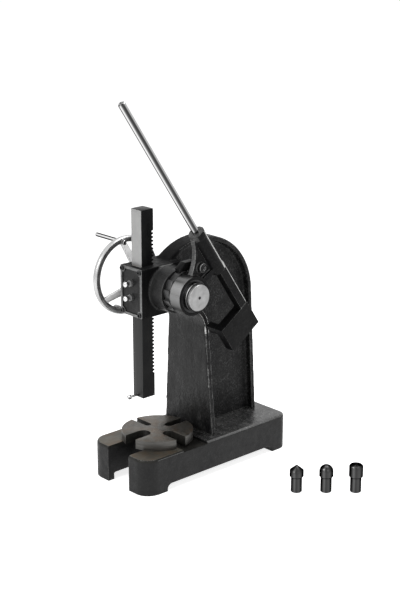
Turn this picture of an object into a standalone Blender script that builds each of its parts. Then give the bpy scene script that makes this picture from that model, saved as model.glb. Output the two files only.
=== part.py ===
# Ratchet arbor press for the bench: a cast base and column, a square ram with a rack cut in
# its back, a pinion shaft turned by a ratchet lever on the right and a handwheel on the left,
# a slotted anvil plate, and three loose punches that fit the socket in the ram.
# Metres, +Z up, -Y towards the front. The world origin is the middle of the anvil plate's top.

import math
import bmesh
import bpy
from mathutils import Matrix, Vector

# Clearances shared by the whole assembly
FIT_GAP = 0.0003
END_PLAY = 0.0006
OVERRUN = 0.004
MERGE = 0.00001
SMOOTH_ANGLE = math.radians(35)

# Ram and rack
RAM_SIDE = 0.040
RAM_BOTTOM = 0.2333
RAM_ABOVE_SHAFT = 0.2100
RACK_PITCH = 0.010
RACK_TEETH = 39
RACK_ABOVE_SHAFT = 0.150
RACK_ADDENDUM = 0.0024
RACK_DEDENDUM = 0.0030
TOOTH_BACKLASH = 0.0004
PRESSURE_ANGLE = math.radians(20)
SOCKET_RADIUS = 0.0150
SOCKET_DEPTH = 0.046

# Pinion shaft, measured from the plane of the ram along X
SHAFT_Z = 0.531
RAM_TOP = SHAFT_Z + RAM_ABOVE_SHAFT
PINION_TEETH = 16
PINION_RADIUS = PINION_TEETH * RACK_PITCH / math.tau
SHAFT_Y = RAM_SIDE / 2 - RACK_ADDENDUM + PINION_RADIUS
PINION_HALF_WIDTH = 0.0197
JOURNAL_RADIUS = 0.0345
SHAFT_RIGHT_END = 0.1700
SHAFT_CHAMFER = 0.0012
CENTRE_HOLE_RADIUS = 0.0030
CENTRE_HOLE_DEPTH = 0.0045
LEFT_JOURNAL_RADIUS = 0.0200
LEFT_JOURNAL_END = 0.0500
WHEEL_SEAT_RADIUS = 0.0125
WHEEL_SEAT_END = 0.0820
THREAD_RADIUS = 0.0080
SHAFT_LEFT_END = 0.1020

# Head of the column
HEAD_HALF_WIDTH = 0.0425
HEAD_FRONT = -0.0263
HEAD_BACK = 0.1000
HEAD_BELOW_SHAFT = 0.0705
HEAD_ABOVE_SHAFT = 0.0615
HEAD_BOTTOM = SHAFT_Z - HEAD_BELOW_SHAFT
HEAD_TOP = SHAFT_Z + HEAD_ABOVE_SHAFT
BOSS_RADIUS = 0.0585
BOSS_END = 0.0895
LEFT_BOSS_RADIUS = 0.0360
BUSH_WALL = 0.0040
BUSH_INNER_END = 0.0225

# Column
WEB_THICKNESS = 0.0120
RIM_HALF_WIDTH = 0.0250
RIM_THICKNESS = 0.0130
RIM_CENTRE_Y = 0.1870
RIM_BELOW_SHAFT = 0.0800
RIM_CENTRE_Z = SHAFT_Z - RIM_BELOW_SHAFT
RIM_RADIUS = 0.1855
REAR_FOOT_Y = 0.3920
FLANGE_FOOT_Y = 0.1580
FLANGE_TOP_Y = 0.1520
FLANGE_THICKNESS = 0.0140
FLANGE_FOOT_HALF = 0.1030
FLANGE_TOP_HALF = 0.0740
FLANGE_NECK_RADIUS = 0.0600
COLUMN_BOLT_RADIUS = 0.0040
COLUMN_BOLT_DEPTH = 0.0300
BOLT_HEAD_RADIUS = 0.0065
BOLT_HEAD_LENGTH = 0.0080
BOLT_POCKET_RADIUS = 0.0090
FRONT_BOLT_X = 0.0600
REAR_BOLT_X = 0.0140

# Base
BASE_HALF_WIDTH = 0.1150
BASE_FRONT = -0.0930
BASE_REAR = 0.4300
BASE_FRONT_CORNER = 0.0420
BASE_REAR_CORNER = 0.0280
DECK_TOP = 0.1000
BASE_EDGE = 0.0060
SLOT_HALF_WIDTH = 0.0415
SLOT_CENTRE_Y = -0.0150
RECESS_FRONT = 0.0370
RECESS_REAR = 0.1230
RECESS_DEPTH = 0.0060
FRONT_FOOT_BACK = -0.0180
REAR_FOOT_FRONT = 0.3700
FOOT_HEIGHT = 0.0180
ARCH_CORNER = 0.0120
CAVITY_FRONT = 0.0720
CAVITY_WALL = 0.0130
CAVITY_ROOF = 0.0160
CAVITY_CORNER = 0.0200

# Anvil plate
PLATE_CENTRE_Y = 0.0450
PLATE_RADIUS = 0.0960
PLATE_TOP = 0.1260
PLATE_BOTTOM = DECK_TOP + FIT_GAP
PLATE_EDGE = 0.0015
PLATE_SOLID_RADIUS = 0.0300
FRONT_SLOT_WIDTH = 0.0400
RIGHT_SLOT_WIDTH = 0.0320
REAR_SLOT_WIDTH = 0.0240
LEFT_SLOT_WIDTH = 0.0180
ANVIL_PIN_RADIUS = 0.0080
ANVIL_PIN_IN_BASE = 0.0200
ANVIL_PIN_IN_PLATE = 0.0120

# Ratchet
RATCHET_TEETH = 12
RATCHET_TIP_RADIUS = 0.0545
RATCHET_ROOT_RADIUS = 0.0475
RATCHET_INNER_END = 0.0910
RATCHET_OUTER_END = 0.1110
RATCHET_PHASE = math.radians(103)
KEY_WIDTH = 0.0080
KEY_DEPTH = 0.0035

# Lever casting, in the plane of its swing, from the shaft's axis
HUB_RADIUS = 0.0510
HUB_INNER_END = 0.1120
HUB_OUTER_END = 0.1500
HUB_RECESS_RADIUS = 0.0440
HUB_RECESS_DEPTH = 0.0030
LEVER_MID_X = 0.1310
LEVER_HALF_WIDTH = 0.0130
LEVER_WEB_HALF = 0.0040
SLEEVE_ANGLE = math.radians(124)
SLEEVE_OFFSET = 0.1087
SLEEVE_RADIUS = 0.0210
SLEEVE_UPPER = 0.1200
SLEEVE_LOWER = 0.0180
SOCKET_BAR_DEPTH = 0.1100
BAR_RADIUS = 0.00925
BAR_TIP_DISTANCE = 0.5440
BAR_TIP_CHAMFER = 0.0020
BEAM_INNER = 0.1030
BEAM_OUTER = 0.1290
WEIGHT_NEAR = 0.0180
WEIGHT_FAR = 0.1290
WEIGHT_START = 0.1540
WEIGHT_END = 0.2330
WEIGHT_HALF_WIDTH = 0.0150
WEIGHT_EDGE = 0.0030
CROSSBAR_THICKNESS = 0.0150
STOP_LUG_WIDTH = 0.0180
STOP_LUG_THICKNESS = 0.0250
STOP_LUG_GAP = 0.0090
STOP_LUG_INSET = 0.0010
CROSSBAR_ANGLE = math.radians(38)
RIB_ANGLE = math.radians(86)
RIB_THICKNESS = 0.0060
RIB_HALF_WIDTH = 0.0080
RIB_BOW = 0.0110
SET_SCREW_RADIUS = 0.0050
SET_SCREW_PROUD = 0.0040
SET_SCREW_PLACE = 0.0600

# Pawl
PIVOT_Y = 0.0340
PIVOT_Z = 0.0670
PIVOT_BOSS_RADIUS = 0.0130
PAWL_PIN_RADIUS = 0.0050
PAWL_KNOB_RADIUS = 0.0120
PAWL_KNOB_LENGTH = 0.0090
PAWL_BOSS_END = 0.1390
PAWL_LIFT = math.radians(10)
PAWL_INNER = 0.0914
PAWL_OUTER = 0.1110
PAWL_TIP_LEAD = math.radians(1.7)
PAWL_TIP_CLEARANCE = 0.0009
PAWL_TIP_PROUD = 0.0030
PAWL_SLOPE_CLEARANCE = 0.0015
PAWL_SLOPE_SHARES = (0.25, 0.6, 1.0)
PAWL_BACK_LOW = 0.0078
PAWL_BACK_HIGH = 0.0124
PAWL_NOSE_FORWARD = 0.0300
PAWL_NOSE_HEIGHT = 0.0072

# Collar and rings that keep the lever on the shaft
WASHER_RADIUS = 0.0430
WASHER_THICKNESS = 0.0030
COLLAR_RADIUS = 0.0375
CLIP_RADIUS = 0.0362
CLIP_THICKNESS = 0.0018
CLIP_GROOVE_DEPTH = 0.0018
CLIP_START = 0.1600

# Cover plate, gib and their screws
COVER_HALF_WIDTH = 0.0425
COVER_LOW_MARGIN = 0.0010
COVER_HIGH_MARGIN = 0.0005
COVER_BOTTOM = HEAD_BOTTOM + COVER_LOW_MARGIN
COVER_TOP = HEAD_TOP + COVER_HIGH_MARGIN
COVER_THICKNESS = 0.0135
COVER_BORDER = 0.0090
COVER_CORNER = 0.0030
COVER_PANEL_DEPTH = 0.0030
COVER_SCREW_INSET = 0.0088
COVER_SCREW_RADIUS = 0.0040
COVER_SCREW_HEAD = 0.0065
COVER_SCREW_HEAD_LENGTH = 0.0080
COVER_SCREW_DEPTH = 0.0240
HEX_SOCKET_RADIUS = 0.0032
HEX_SOCKET_DEPTH = 0.0040
GIB_THICKNESS = 0.0057
GIB_HALF_WIDTH = 0.0190
GIB_MARGIN = 0.0040
ADJUST_SPACING = 0.0380
ADJUST_RADIUS = 0.0050
ADJUST_HEAD_RADIUS = 0.0075
ADJUST_HEAD_LENGTH = 0.0080
ADJUST_PROUD = 0.0235
LOCK_NUT_RADIUS = 0.0092
LOCK_NUT_LENGTH = 0.0080

# Punch clamp screw at the foot of the ram
CLAMP_HEIGHT = 0.0070
CLAMP_RADIUS = 0.0028
CLAMP_KNOB_RADIUS = 0.0060
CLAMP_KNOB_LENGTH = 0.0090
KNOB_CHAMFER = 0.0015
CLAMP_LENGTH = 0.0350

# Handwheel and crank grip: the rim stands further out than the hub
WHEEL_X = 0.1210
WHEEL_RADIUS = 0.1075
WHEEL_RIM_DEPTH = 0.0170
WHEEL_RIM_HALF = 0.0085
WHEEL_RIM_ROUND = 0.0050
WHEEL_HUB_RADIUS = 0.0230
WHEEL_HUB_INNER = 0.0515
SPOKE_RIM_WIDTH = 0.0180
SPOKE_HUB_WIDTH = 0.0260
SPOKE_HALF_THICKNESS = 0.0045
SPOKE_ANGLES = [math.radians(97), math.radians(217), math.radians(337)]
CRANK_INSET = 0.0140
CRANK_RADIUS = WHEEL_RADIUS - CRANK_INSET
CRANK_BOLT_RADIUS = 0.0030
CRANK_CAP_THICKNESS = 0.0030
CRANK_PAD_RADIUS = 0.0095
CRANK_PAD_HALF = 0.0090
CRANK_SPOT_RADIUS = 0.0066
CRANK_SPOT_DEPTH = 0.0140
GRIP_RADIUS = 0.0055
GRIP_LENGTH = 0.0935
WASHER_OUTER = 0.0150
WHEEL_WASHER_THICKNESS = 0.0025
NUT_RADIUS = 0.0138
NUT_LENGTH = 0.0130

# Loose punches, standing on their shanks beside the base
PUNCH_SLACK = 0.0003
PUNCH_SHANK_RADIUS = SOCKET_RADIUS - PUNCH_SLACK
PUNCH_HEAD_RADIUS = 0.0185
PUNCH_SHANK_LENGTH = 0.0400
CONE_HEAD_LENGTH = 0.0205
CONE_LENGTH = 0.0150
DOME_HEAD_LENGTH = 0.0170
FLAT_HEAD_LENGTH = 0.0325
FLAT_LENGTH = 0.0030
PUNCH_CHAMFER = 0.0015
PUNCH_FIRST = (0.342, 0.230)
PUNCH_STEP = (0.053, 0.057)
CONE_SHARES = [(0, 1)]
FLAT_SHARES = [(0.9, 1), (0, 1)]

# Faces round circles and curves
RIM_STEPS = 48
ROUND_STEPS = 32
SMALL_STEPS = 16
SWEEP_STEPS = 12
ARC_STEPS = 6
CORNER_STEPS = 3
RIM_CORNER_STEPS = 2
FLANK_STEPS = 4


for leftover in list(bpy.data.objects):
    bpy.data.objects.remove(leftover, do_unlink=True)


def finish(name, colour, roughness, metallic):
    """A Principled material."""
    material = bpy.data.materials.new(name)
    material.use_nodes = True
    shader = material.node_tree.nodes["Principled BSDF"]
    shader.inputs["Base Color"].default_value = (*colour, 1)
    shader.inputs["Roughness"].default_value = roughness
    shader.inputs["Metallic"].default_value = metallic
    return material


PAINT = finish("black_casting_paint", (0.030, 0.030, 0.031), 0.55, 0)
GLOSS = finish("black_head_paint", (0.022, 0.022, 0.023), 0.32, 0)
MACHINED = finish("machined_iron", (0.165, 0.145, 0.125), 0.42, 0.8)
BLACKENED = finish("blackened_steel", (0.060, 0.060, 0.062), 0.38, 0.9)
BRIGHT = finish("bright_steel", (0.62, 0.62, 0.62), 0.24, 1)
CHROME = finish("chrome", (0.80, 0.80, 0.81), 0.08, 1)
POLISHED = finish("polished_aluminium", (0.78, 0.78, 0.78), 0.20, 1)
BRONZE = finish("bearing_bronze", (0.46, 0.29, 0.12), 0.35, 1)
OXIDE = finish("black_oxide_screw", (0.020, 0.020, 0.021), 0.35, 0.7)


def empty(name, place, parent=None):
    """A frame that pieces are measured from."""
    frame = bpy.data.objects.new(name, None)
    bpy.context.collection.objects.link(frame)
    frame.location = place
    frame.parent = parent
    return frame


DATUM = empty("press_datum", (0, -PLATE_CENTRE_Y, -PLATE_TOP))
SHAFT_AXIS = empty("shaft_axis", (0, SHAFT_Y, SHAFT_Z), DATUM)
PAWL_AXIS = empty("pawl_axis", (0, PIVOT_Y, PIVOT_Z), SHAFT_AXIS)
PLATE_AXIS = empty("anvil_axis", (0, PLATE_CENTRE_Y, 0), DATUM)
CRANK_AXIS = empty("crank_axis", (-WHEEL_X, CRANK_RADIUS * math.cos(SPOKE_ANGLES[0]),
                                  CRANK_RADIUS * math.sin(SPOKE_ANGLES[0])), SHAFT_AXIS)
CLAMP_AXIS = empty("clamp_axis", (0, -RAM_SIDE / 2, RAM_BOTTOM + CLAMP_HEIGHT), DATUM)


def piece(name, shape, material, parent):
    """Turn a bmesh into an object of its own."""
    bmesh.ops.remove_doubles(shape, verts=shape.verts, dist=MERGE)
    bmesh.ops.recalc_face_normals(shape, faces=shape.faces)
    mesh = bpy.data.meshes.new(name)
    shape.to_mesh(mesh)
    shape.free()
    mesh.shade_smooth()
    mesh.set_sharp_from_angle(angle=SMOOTH_ANGLE)
    mesh.materials.append(material)
    body = bpy.data.objects.new(name, mesh)
    bpy.context.collection.objects.link(body)
    body.parent = parent
    return body


def combine(target, tool, operation):
    """Join, cut or intersect two solids, and drop the second."""
    tool.parent = target.parent
    boolean = target.modifiers.new(operation.lower(), "BOOLEAN")
    boolean.operation = operation
    boolean.solver = "EXACT"
    boolean.object = tool
    bpy.context.view_layer.update()
    evaluated = target.evaluated_get(bpy.context.evaluated_depsgraph_get())
    result = bpy.data.meshes.new_from_object(evaluated)
    target.modifiers.clear()
    target.data = result
    seams = bmesh.new()
    seams.from_mesh(result)
    bmesh.ops.remove_doubles(seams, verts=seams.verts, dist=MERGE)
    bmesh.ops.dissolve_degenerate(seams, edges=seams.edges, dist=MERGE)
    seams.to_mesh(result)
    seams.free()
    bpy.data.objects.remove(tool, do_unlink=True)
    return target


def join(target, *tools):
    for tool in tools:
        combine(target, tool, "UNION")
    return target


def cut(target, *tools):
    for tool in tools:
        combine(target, tool, "DIFFERENCE")
    return target


def in_space(axis, along, first, second):
    """A point at a distance along an axis, with its two other coordinates in XYZ order."""
    if axis == "X":
        return (along, first, second)
    if axis == "Y":
        return (first, along, second)
    return (first, second, along)


def prism(outline, axis, start, end):
    """A closed outline of two coordinates, extruded along the third."""
    shape = bmesh.new()
    ring = [shape.verts.new(in_space(axis, start, *point)) for point in outline]
    face = shape.faces.new(ring)
    grown = bmesh.ops.extrude_face_region(shape, geom=[face])
    moved = [item for item in grown["geom"] if isinstance(item, bmesh.types.BMVert)]
    bmesh.ops.translate(shape, verts=moved, vec=in_space(axis, end - start, 0, 0))
    return shape


def turned(profile, axis, steps=ROUND_STEPS, centre=(0, 0, 0), closed=False):
    """A profile of (radius, distance along the axis) points, turned round that axis."""
    shape = bmesh.new()
    ring = [shape.verts.new(in_space("X", along, radius, 0)) for radius, along in profile]
    edges = [shape.edges.new(pair) for pair in zip(ring, ring[1:])]
    if closed:
        edges.append(shape.edges.new((ring[-1], ring[0])))
    bmesh.ops.spin(shape, geom=ring + edges, cent=(0, 0, 0), axis=(1, 0, 0),
                   angle=math.tau, steps=steps, use_merge=True)
    bmesh.ops.remove_doubles(shape, verts=shape.verts, dist=MERGE)
    if axis == "Y":
        bmesh.ops.transform(shape, matrix=Matrix.Rotation(math.pi / 2, 4, "Z"), verts=shape.verts)
    if axis == "Z":
        bmesh.ops.transform(shape, matrix=Matrix.Rotation(-math.pi / 2, 4, "Y"), verts=shape.verts)
    bmesh.ops.translate(shape, verts=shape.verts, vec=centre)
    return shape


def rod(radius, start, end, axis, steps=ROUND_STEPS, centre=(0, 0, 0), chamfer=0):
    """A round bar, chamfered at both ends where asked."""
    if chamfer:
        profile = [(0, start), (radius - chamfer, start), (radius, start + chamfer),
                   (radius, end - chamfer), (radius - chamfer, end), (0, end)]
    else:
        profile = [(0, start), (radius, start), (radius, end), (0, end)]
    return turned(profile, axis, steps, centre)


def ring(inner, outer, start, end, axis, steps=ROUND_STEPS, centre=(0, 0, 0)):
    """A plain bush, washer or collar."""
    profile = [(inner, start), (outer, start), (outer, end), (inner, end)]
    return turned(profile, axis, steps, centre, closed=True)


def hexagon(across_corners, start, end, axis, centre=(0, 0, 0)):
    return rod(across_corners, start, end, axis, 6, centre)


def box(low, high):
    outline = [(low[0], low[1]), (high[0], low[1]), (high[0], high[1]), (low[0], high[1])]
    return prism(outline, "Z", low[2], high[2])


def rounded(corners, steps=ARC_STEPS):
    """A closed outline of (a, b, radius) corners, each corner rounded by its radius."""
    outline = []
    count = len(corners)
    for index, (a, b, radius) in enumerate(corners):
        here = Vector((a, b))
        if not radius:
            outline.append((a, b))
            continue
        before = (Vector(corners[index - 1][:2]) - here).normalized()
        after = (Vector(corners[(index + 1) % count][:2]) - here).normalized()
        half = before.angle(after) / 2
        centre = here + (before + after).normalized() * radius / math.sin(half)
        first = here + before * radius / math.tan(half) - centre
        last = here + after * radius / math.tan(half) - centre
        sweep = first.angle_signed(last)
        for step in range(steps + 1):
            turn = -sweep * step / steps
            spoke = Matrix.Rotation(turn, 2) @ first
            outline.append(tuple(centre + spoke))
    return outline


def stadium(half_width, start, end, turn, centre):
    """A slot with a round inner end at start and a straight outer end, turned about centre."""
    points = [(end, -half_width), (end, half_width), (start, half_width)]
    for step in range(1, SWEEP_STEPS):
        angle = math.pi / 2 + math.pi * step / SWEEP_STEPS
        points.append((start + half_width * math.cos(angle), half_width * math.sin(angle)))
    points.append((start, -half_width))
    spin = Matrix.Rotation(turn, 2)
    return [tuple(spin @ Vector(point) + Vector(centre)) for point in points]


def helper(shape):
    return piece("tool", shape, PAINT, DATUM)


def helper_on(frame, shape):
    return piece("tool", shape, PAINT, frame)


def polar(radius, angle):
    return (radius * math.cos(angle), radius * math.sin(angle))


# Base: one iron casting, hollow underneath, on two front feet and one rear foot
base_plan = rounded([(-BASE_HALF_WIDTH, BASE_FRONT, BASE_FRONT_CORNER),
                     (BASE_HALF_WIDTH, BASE_FRONT, BASE_FRONT_CORNER),
                     (BASE_HALF_WIDTH, BASE_REAR, BASE_REAR_CORNER),
                     (-BASE_HALF_WIDTH, BASE_REAR, BASE_REAR_CORNER)])
base_shape = prism(base_plan, "Z", 0, DECK_TOP)
top_edges = [edge for edge in base_shape.edges if min(v.co.z for v in edge.verts) > DECK_TOP - MERGE]
bmesh.ops.bevel(base_shape, geom=top_edges, offset=BASE_EDGE, segments=2, profile=0.5,
                affect="EDGES")
base = piece("base_casting", base_shape, PAINT, DATUM)
cut(base, helper(prism(stadium(SLOT_HALF_WIDTH, 0, SLOT_CENTRE_Y - BASE_FRONT + OVERRUN,
                               -math.pi / 2, (0, SLOT_CENTRE_Y)),
                       "Z", -OVERRUN, DECK_TOP + OVERRUN)))
cut(base, helper(box((-BASE_HALF_WIDTH - OVERRUN, RECESS_FRONT, DECK_TOP - RECESS_DEPTH),
                     (BASE_HALF_WIDTH + OVERRUN, RECESS_REAR, DECK_TOP + OVERRUN))))
arch = rounded([(FRONT_FOOT_BACK, -FOOT_HEIGHT, 0), (REAR_FOOT_FRONT, -FOOT_HEIGHT, 0),
                (REAR_FOOT_FRONT, FOOT_HEIGHT, ARCH_CORNER),
                (FRONT_FOOT_BACK, FOOT_HEIGHT, ARCH_CORNER)])
cut(base, helper(prism(arch, "X", -BASE_HALF_WIDTH - OVERRUN, BASE_HALF_WIDTH + OVERRUN)))
cavity_side = BASE_HALF_WIDTH - CAVITY_WALL
cavity = rounded([(-cavity_side, CAVITY_FRONT, CAVITY_CORNER),
                  (cavity_side, CAVITY_FRONT, CAVITY_CORNER),
                  (cavity_side, REAR_FOOT_FRONT, CAVITY_CORNER),
                  (-cavity_side, REAR_FOOT_FRONT, CAVITY_CORNER)])
CAVITY_TOP = DECK_TOP - RECESS_DEPTH - CAVITY_ROOF
cut(base, helper(prism(cavity, "Z", -OVERRUN, CAVITY_TOP)))
RECESS_FLOOR = DECK_TOP - RECESS_DEPTH
cut(base, helper(rod(ANVIL_PIN_RADIUS + FIT_GAP, RECESS_FLOOR - ANVIL_PIN_IN_BASE - FIT_GAP,
                     DECK_TOP, "Z", SMALL_STEPS, (0, PLATE_CENTRE_Y, 0))))

# Column bolts: up through the base into the feet of the column's flange and rim
FRONT_BOLT_Y = FLANGE_FOOT_Y + FLANGE_THICKNESS / 2
REAR_BOLT_Y = REAR_FOOT_Y - RIM_THICKNESS / 2
bolt_places = [(-FRONT_BOLT_X, FRONT_BOLT_Y), (FRONT_BOLT_X, FRONT_BOLT_Y),
               (-REAR_BOLT_X, REAR_BOLT_Y), (REAR_BOLT_X, REAR_BOLT_Y)]
COLUMN_FOOT = DECK_TOP + FIT_GAP
for bolt_x, bolt_y in bolt_places:
    at_bolt = (bolt_x, bolt_y, 0)
    cut(base, helper(rod(COLUMN_BOLT_RADIUS + FIT_GAP, CAVITY_TOP - OVERRUN, DECK_TOP + OVERRUN,
                         "Z", SMALL_STEPS, at_bolt)))
    cut(base, helper(rod(BOLT_POCKET_RADIUS, -OVERRUN, CAVITY_TOP, "Z", SMALL_STEPS, at_bolt)))
for number, (bolt_x, bolt_y) in enumerate(bolt_places, 1):
    head_top = CAVITY_TOP - FIT_GAP
    bolt_profile = [(0, head_top - BOLT_HEAD_LENGTH), (BOLT_HEAD_RADIUS, head_top - BOLT_HEAD_LENGTH),
                    (BOLT_HEAD_RADIUS, head_top), (COLUMN_BOLT_RADIUS, head_top),
                    (COLUMN_BOLT_RADIUS, COLUMN_FOOT + COLUMN_BOLT_DEPTH),
                    (0, COLUMN_FOOT + COLUMN_BOLT_DEPTH)]
    piece(f"column_bolt_{number}", turned(bolt_profile, "Z", SMALL_STEPS, (bolt_x, bolt_y, 0)),
          OXIDE, DATUM)


# Column: one casting of a wide front flange, a thin web, a round rim and the ram's head
def rim_line(inset):
    """The column's outline from the head's top, over the round top, down to the rear foot."""
    radius = RIM_RADIUS - inset
    start = math.pi - math.asin((HEAD_TOP - OVERRUN - RIM_CENTRE_Z) / radius)
    points = []
    for step in range(SMALL_STEPS + 1):
        angle = start * (1 - step / SMALL_STEPS)
        points.append((RIM_CENTRE_Y + radius * math.cos(angle),
                       RIM_CENTRE_Z + radius * math.sin(angle)))
    points.append((REAR_FOOT_Y - inset, COLUMN_FOOT))
    return points


def flange_line(inset):
    """The front face of the flange from its foot up and forward under the head."""
    radius = FLANGE_NECK_RADIUS + inset
    centre_y = FLANGE_TOP_Y - FLANGE_NECK_RADIUS
    centre_z = HEAD_BOTTOM - FLANGE_NECK_RADIUS
    points = [(FLANGE_FOOT_Y + inset, COLUMN_FOOT)]
    for step in range(SWEEP_STEPS + 1):
        angle = math.pi / 2 * step / SWEEP_STEPS
        points.append((centre_y + radius * math.cos(angle), centre_z + radius * math.sin(angle)))
    return points


head_low = HEAD_BOTTOM + OVERRUN
web_outline = (rim_line(RIM_THICKNESS / 2)
               + flange_line(FLANGE_THICKNESS / 2)
               + [(HEAD_BACK / 2, head_low), (HEAD_BACK / 2, HEAD_TOP - OVERRUN)])
column = piece("column_frame", prism(web_outline, "X", -WEB_THICKNESS / 2, WEB_THICKNESS / 2),
               PAINT, DATUM)
rim_band = rim_line(0) + rim_line(RIM_THICKNESS)[::-1]
rim = helper(prism(rim_band, "X", -RIM_HALF_WIDTH, RIM_HALF_WIDTH))
flange_band = flange_line(0) + flange_line(FLANGE_THICKNESS)[::-1]
flange = helper(prism(flange_band, "X", -FLANGE_FOOT_HALF - OVERRUN, FLANGE_FOOT_HALF + OVERRUN))
neck_start = HEAD_BOTTOM - FLANGE_NECK_RADIUS
flange_front = [(-FLANGE_FOOT_HALF, 0), (FLANGE_FOOT_HALF, 0), (FLANGE_TOP_HALF, neck_start),
                (FLANGE_TOP_HALF, HEAD_TOP), (-FLANGE_TOP_HALF, HEAD_TOP),
                (-FLANGE_TOP_HALF, neck_start)]
combine(flange, helper(prism(flange_front, "Y", 0, REAR_FOOT_Y)), "INTERSECT")
head = helper(box((-HEAD_HALF_WIDTH, HEAD_FRONT, HEAD_BOTTOM), (HEAD_HALF_WIDTH, HEAD_BACK, HEAD_TOP)))
right_boss = helper(rod(BOSS_RADIUS, 0, BOSS_END, "X", ROUND_STEPS, (0, SHAFT_Y, SHAFT_Z)))
left_boss = helper(rod(LEFT_BOSS_RADIUS, END_PLAY - LEFT_JOURNAL_END, 0, "X", ROUND_STEPS,
                       (0, SHAFT_Y, SHAFT_Z)))
join(column, rim, flange, head, right_boss, left_boss)
for bolt_x, bolt_y in bolt_places:
    cut(column, helper(rod(COLUMN_BOLT_RADIUS + FIT_GAP, 0,
                           COLUMN_FOOT + COLUMN_BOLT_DEPTH + FIT_GAP, "Z", SMALL_STEPS,
                           (bolt_x, bolt_y, 0))))
guide_half = RAM_SIDE / 2 + FIT_GAP
cut(column, helper(box((-guide_half, HEAD_FRONT - OVERRUN, HEAD_BOTTOM - OVERRUN),
                       (guide_half, guide_half, HEAD_TOP + OVERRUN))))
BUSH_BORE = JOURNAL_RADIUS + FIT_GAP
BUSH_OUTER = BUSH_BORE + BUSH_WALL
LEFT_BUSH_BORE = LEFT_JOURNAL_RADIUS + FIT_GAP
LEFT_BUSH_OUTER = LEFT_BUSH_BORE + BUSH_WALL
at_shaft = (0, SHAFT_Y, SHAFT_Z)
cut(column, helper(rod(BUSH_OUTER + FIT_GAP, -guide_half, BOSS_END + OVERRUN, "X", ROUND_STEPS,
                       at_shaft)))
cut(column, helper(rod(LEFT_BUSH_OUTER + FIT_GAP, -LEFT_JOURNAL_END - OVERRUN, 0, "X", ROUND_STEPS,
                       at_shaft)))

# Bronze bushes in the head
piece("bush_right", ring(BUSH_BORE, BUSH_OUTER, BUSH_INNER_END, BOSS_END, "X"), BRONZE, SHAFT_AXIS)
piece("bush_left", ring(LEFT_BUSH_BORE, LEFT_BUSH_OUTER, END_PLAY - LEFT_JOURNAL_END,
                        -BUSH_INNER_END, "X", ROUND_STEPS), BRONZE, SHAFT_AXIS)

# Anvil plate: a thick turned disc with four slots of different widths, free to turn on its pin
plate_profile = [(0, PLATE_BOTTOM), (PLATE_RADIUS, PLATE_BOTTOM),
                 (PLATE_RADIUS, PLATE_TOP - PLATE_EDGE), (PLATE_RADIUS - PLATE_EDGE, PLATE_TOP),
                 (0, PLATE_TOP)]
plate = piece("anvil_plate", turned(plate_profile, "Z", RIM_STEPS), MACHINED,
              PLATE_AXIS)
slot_widths = [RIGHT_SLOT_WIDTH, REAR_SLOT_WIDTH, LEFT_SLOT_WIDTH, FRONT_SLOT_WIDTH]
for quarter, width in enumerate(slot_widths):
    slot = stadium(width / 2, PLATE_SOLID_RADIUS + width / 2, PLATE_RADIUS + OVERRUN,
                   quarter * math.pi / 2, (0, 0))
    cut(plate, helper_on(PLATE_AXIS, prism(slot, "Z", PLATE_BOTTOM - OVERRUN, PLATE_TOP + OVERRUN)))
pin_top = PLATE_BOTTOM + ANVIL_PIN_IN_PLATE
cut(plate, helper_on(PLATE_AXIS, rod(ANVIL_PIN_RADIUS + FIT_GAP, PLATE_BOTTOM - OVERRUN,
                                     pin_top + FIT_GAP, "Z", SMALL_STEPS)))
piece("anvil_pin", rod(ANVIL_PIN_RADIUS, RECESS_FLOOR - ANVIL_PIN_IN_BASE, pin_top, "Z",
                       SMALL_STEPS, (0, PLATE_CENTRE_Y, 0)), BRIGHT, DATUM)

# Ram: a square bar with the rack in its back and a socket for the punches in its foot
PITCH_LINE = RAM_SIDE / 2 - RACK_ADDENDUM
lean = math.tan(PRESSURE_ANGLE)
half_space = (RACK_PITCH + TOOTH_BACKLASH) / 4
rack_top_space = SHAFT_Z + RACK_PITCH * round(RACK_ABOVE_SHAFT / RACK_PITCH)
ram_outline = [(-RAM_SIDE / 2, RAM_BOTTOM), (-RAM_SIDE / 2, RAM_TOP), (RAM_SIDE / 2, RAM_TOP)]
for tooth in range(RACK_TEETH):
    space = rack_top_space - tooth * RACK_PITCH
    wide = half_space + RACK_ADDENDUM * lean
    narrow = half_space - RACK_DEDENDUM * lean
    ram_outline += [(RAM_SIDE / 2, space + wide), (PITCH_LINE - RACK_DEDENDUM, space + narrow),
                    (PITCH_LINE - RACK_DEDENDUM, space - narrow), (RAM_SIDE / 2, space - wide)]
ram_outline.append((RAM_SIDE / 2, RAM_BOTTOM))
ram = piece("ram_rack", prism(ram_outline, "X", -RAM_SIDE / 2, RAM_SIDE / 2), BLACKENED, DATUM)
cut(ram, helper(rod(SOCKET_RADIUS, RAM_BOTTOM - OVERRUN, RAM_BOTTOM + SOCKET_DEPTH, "Z",
                    ROUND_STEPS)))
cut(ram, helper(rod(CLAMP_RADIUS + FIT_GAP, -RAM_SIDE / 2 - OVERRUN, 0, "Y", SMALL_STEPS,
                    (0, 0, RAM_BOTTOM + CLAMP_HEIGHT))))

# Clamp screw for the punch: a long thumbscrew with a round knob
clamp = piece("punch_clamp_screw",
              rod(CLAMP_RADIUS, -CLAMP_LENGTH, RAM_SIDE / 2 - SOCKET_RADIUS - FIT_GAP, "Y",
                  SMALL_STEPS), CHROME, CLAMP_AXIS)
join(clamp, helper_on(CLAMP_AXIS, rod(CLAMP_KNOB_RADIUS, -CLAMP_LENGTH,
                                      CLAMP_KNOB_LENGTH - CLAMP_LENGTH, "Y", SMALL_STEPS,
                                      (0, 0, 0), KNOB_CHAMFER)))


# Pinion shaft: pinion, large right journal and small left journal turned from one bar
def involute(base_radius, radius):
    """The roll angle of an involute at a radius."""
    roll = math.sqrt((radius / base_radius) ** 2 - 1)
    return roll - math.atan(roll)


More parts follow.
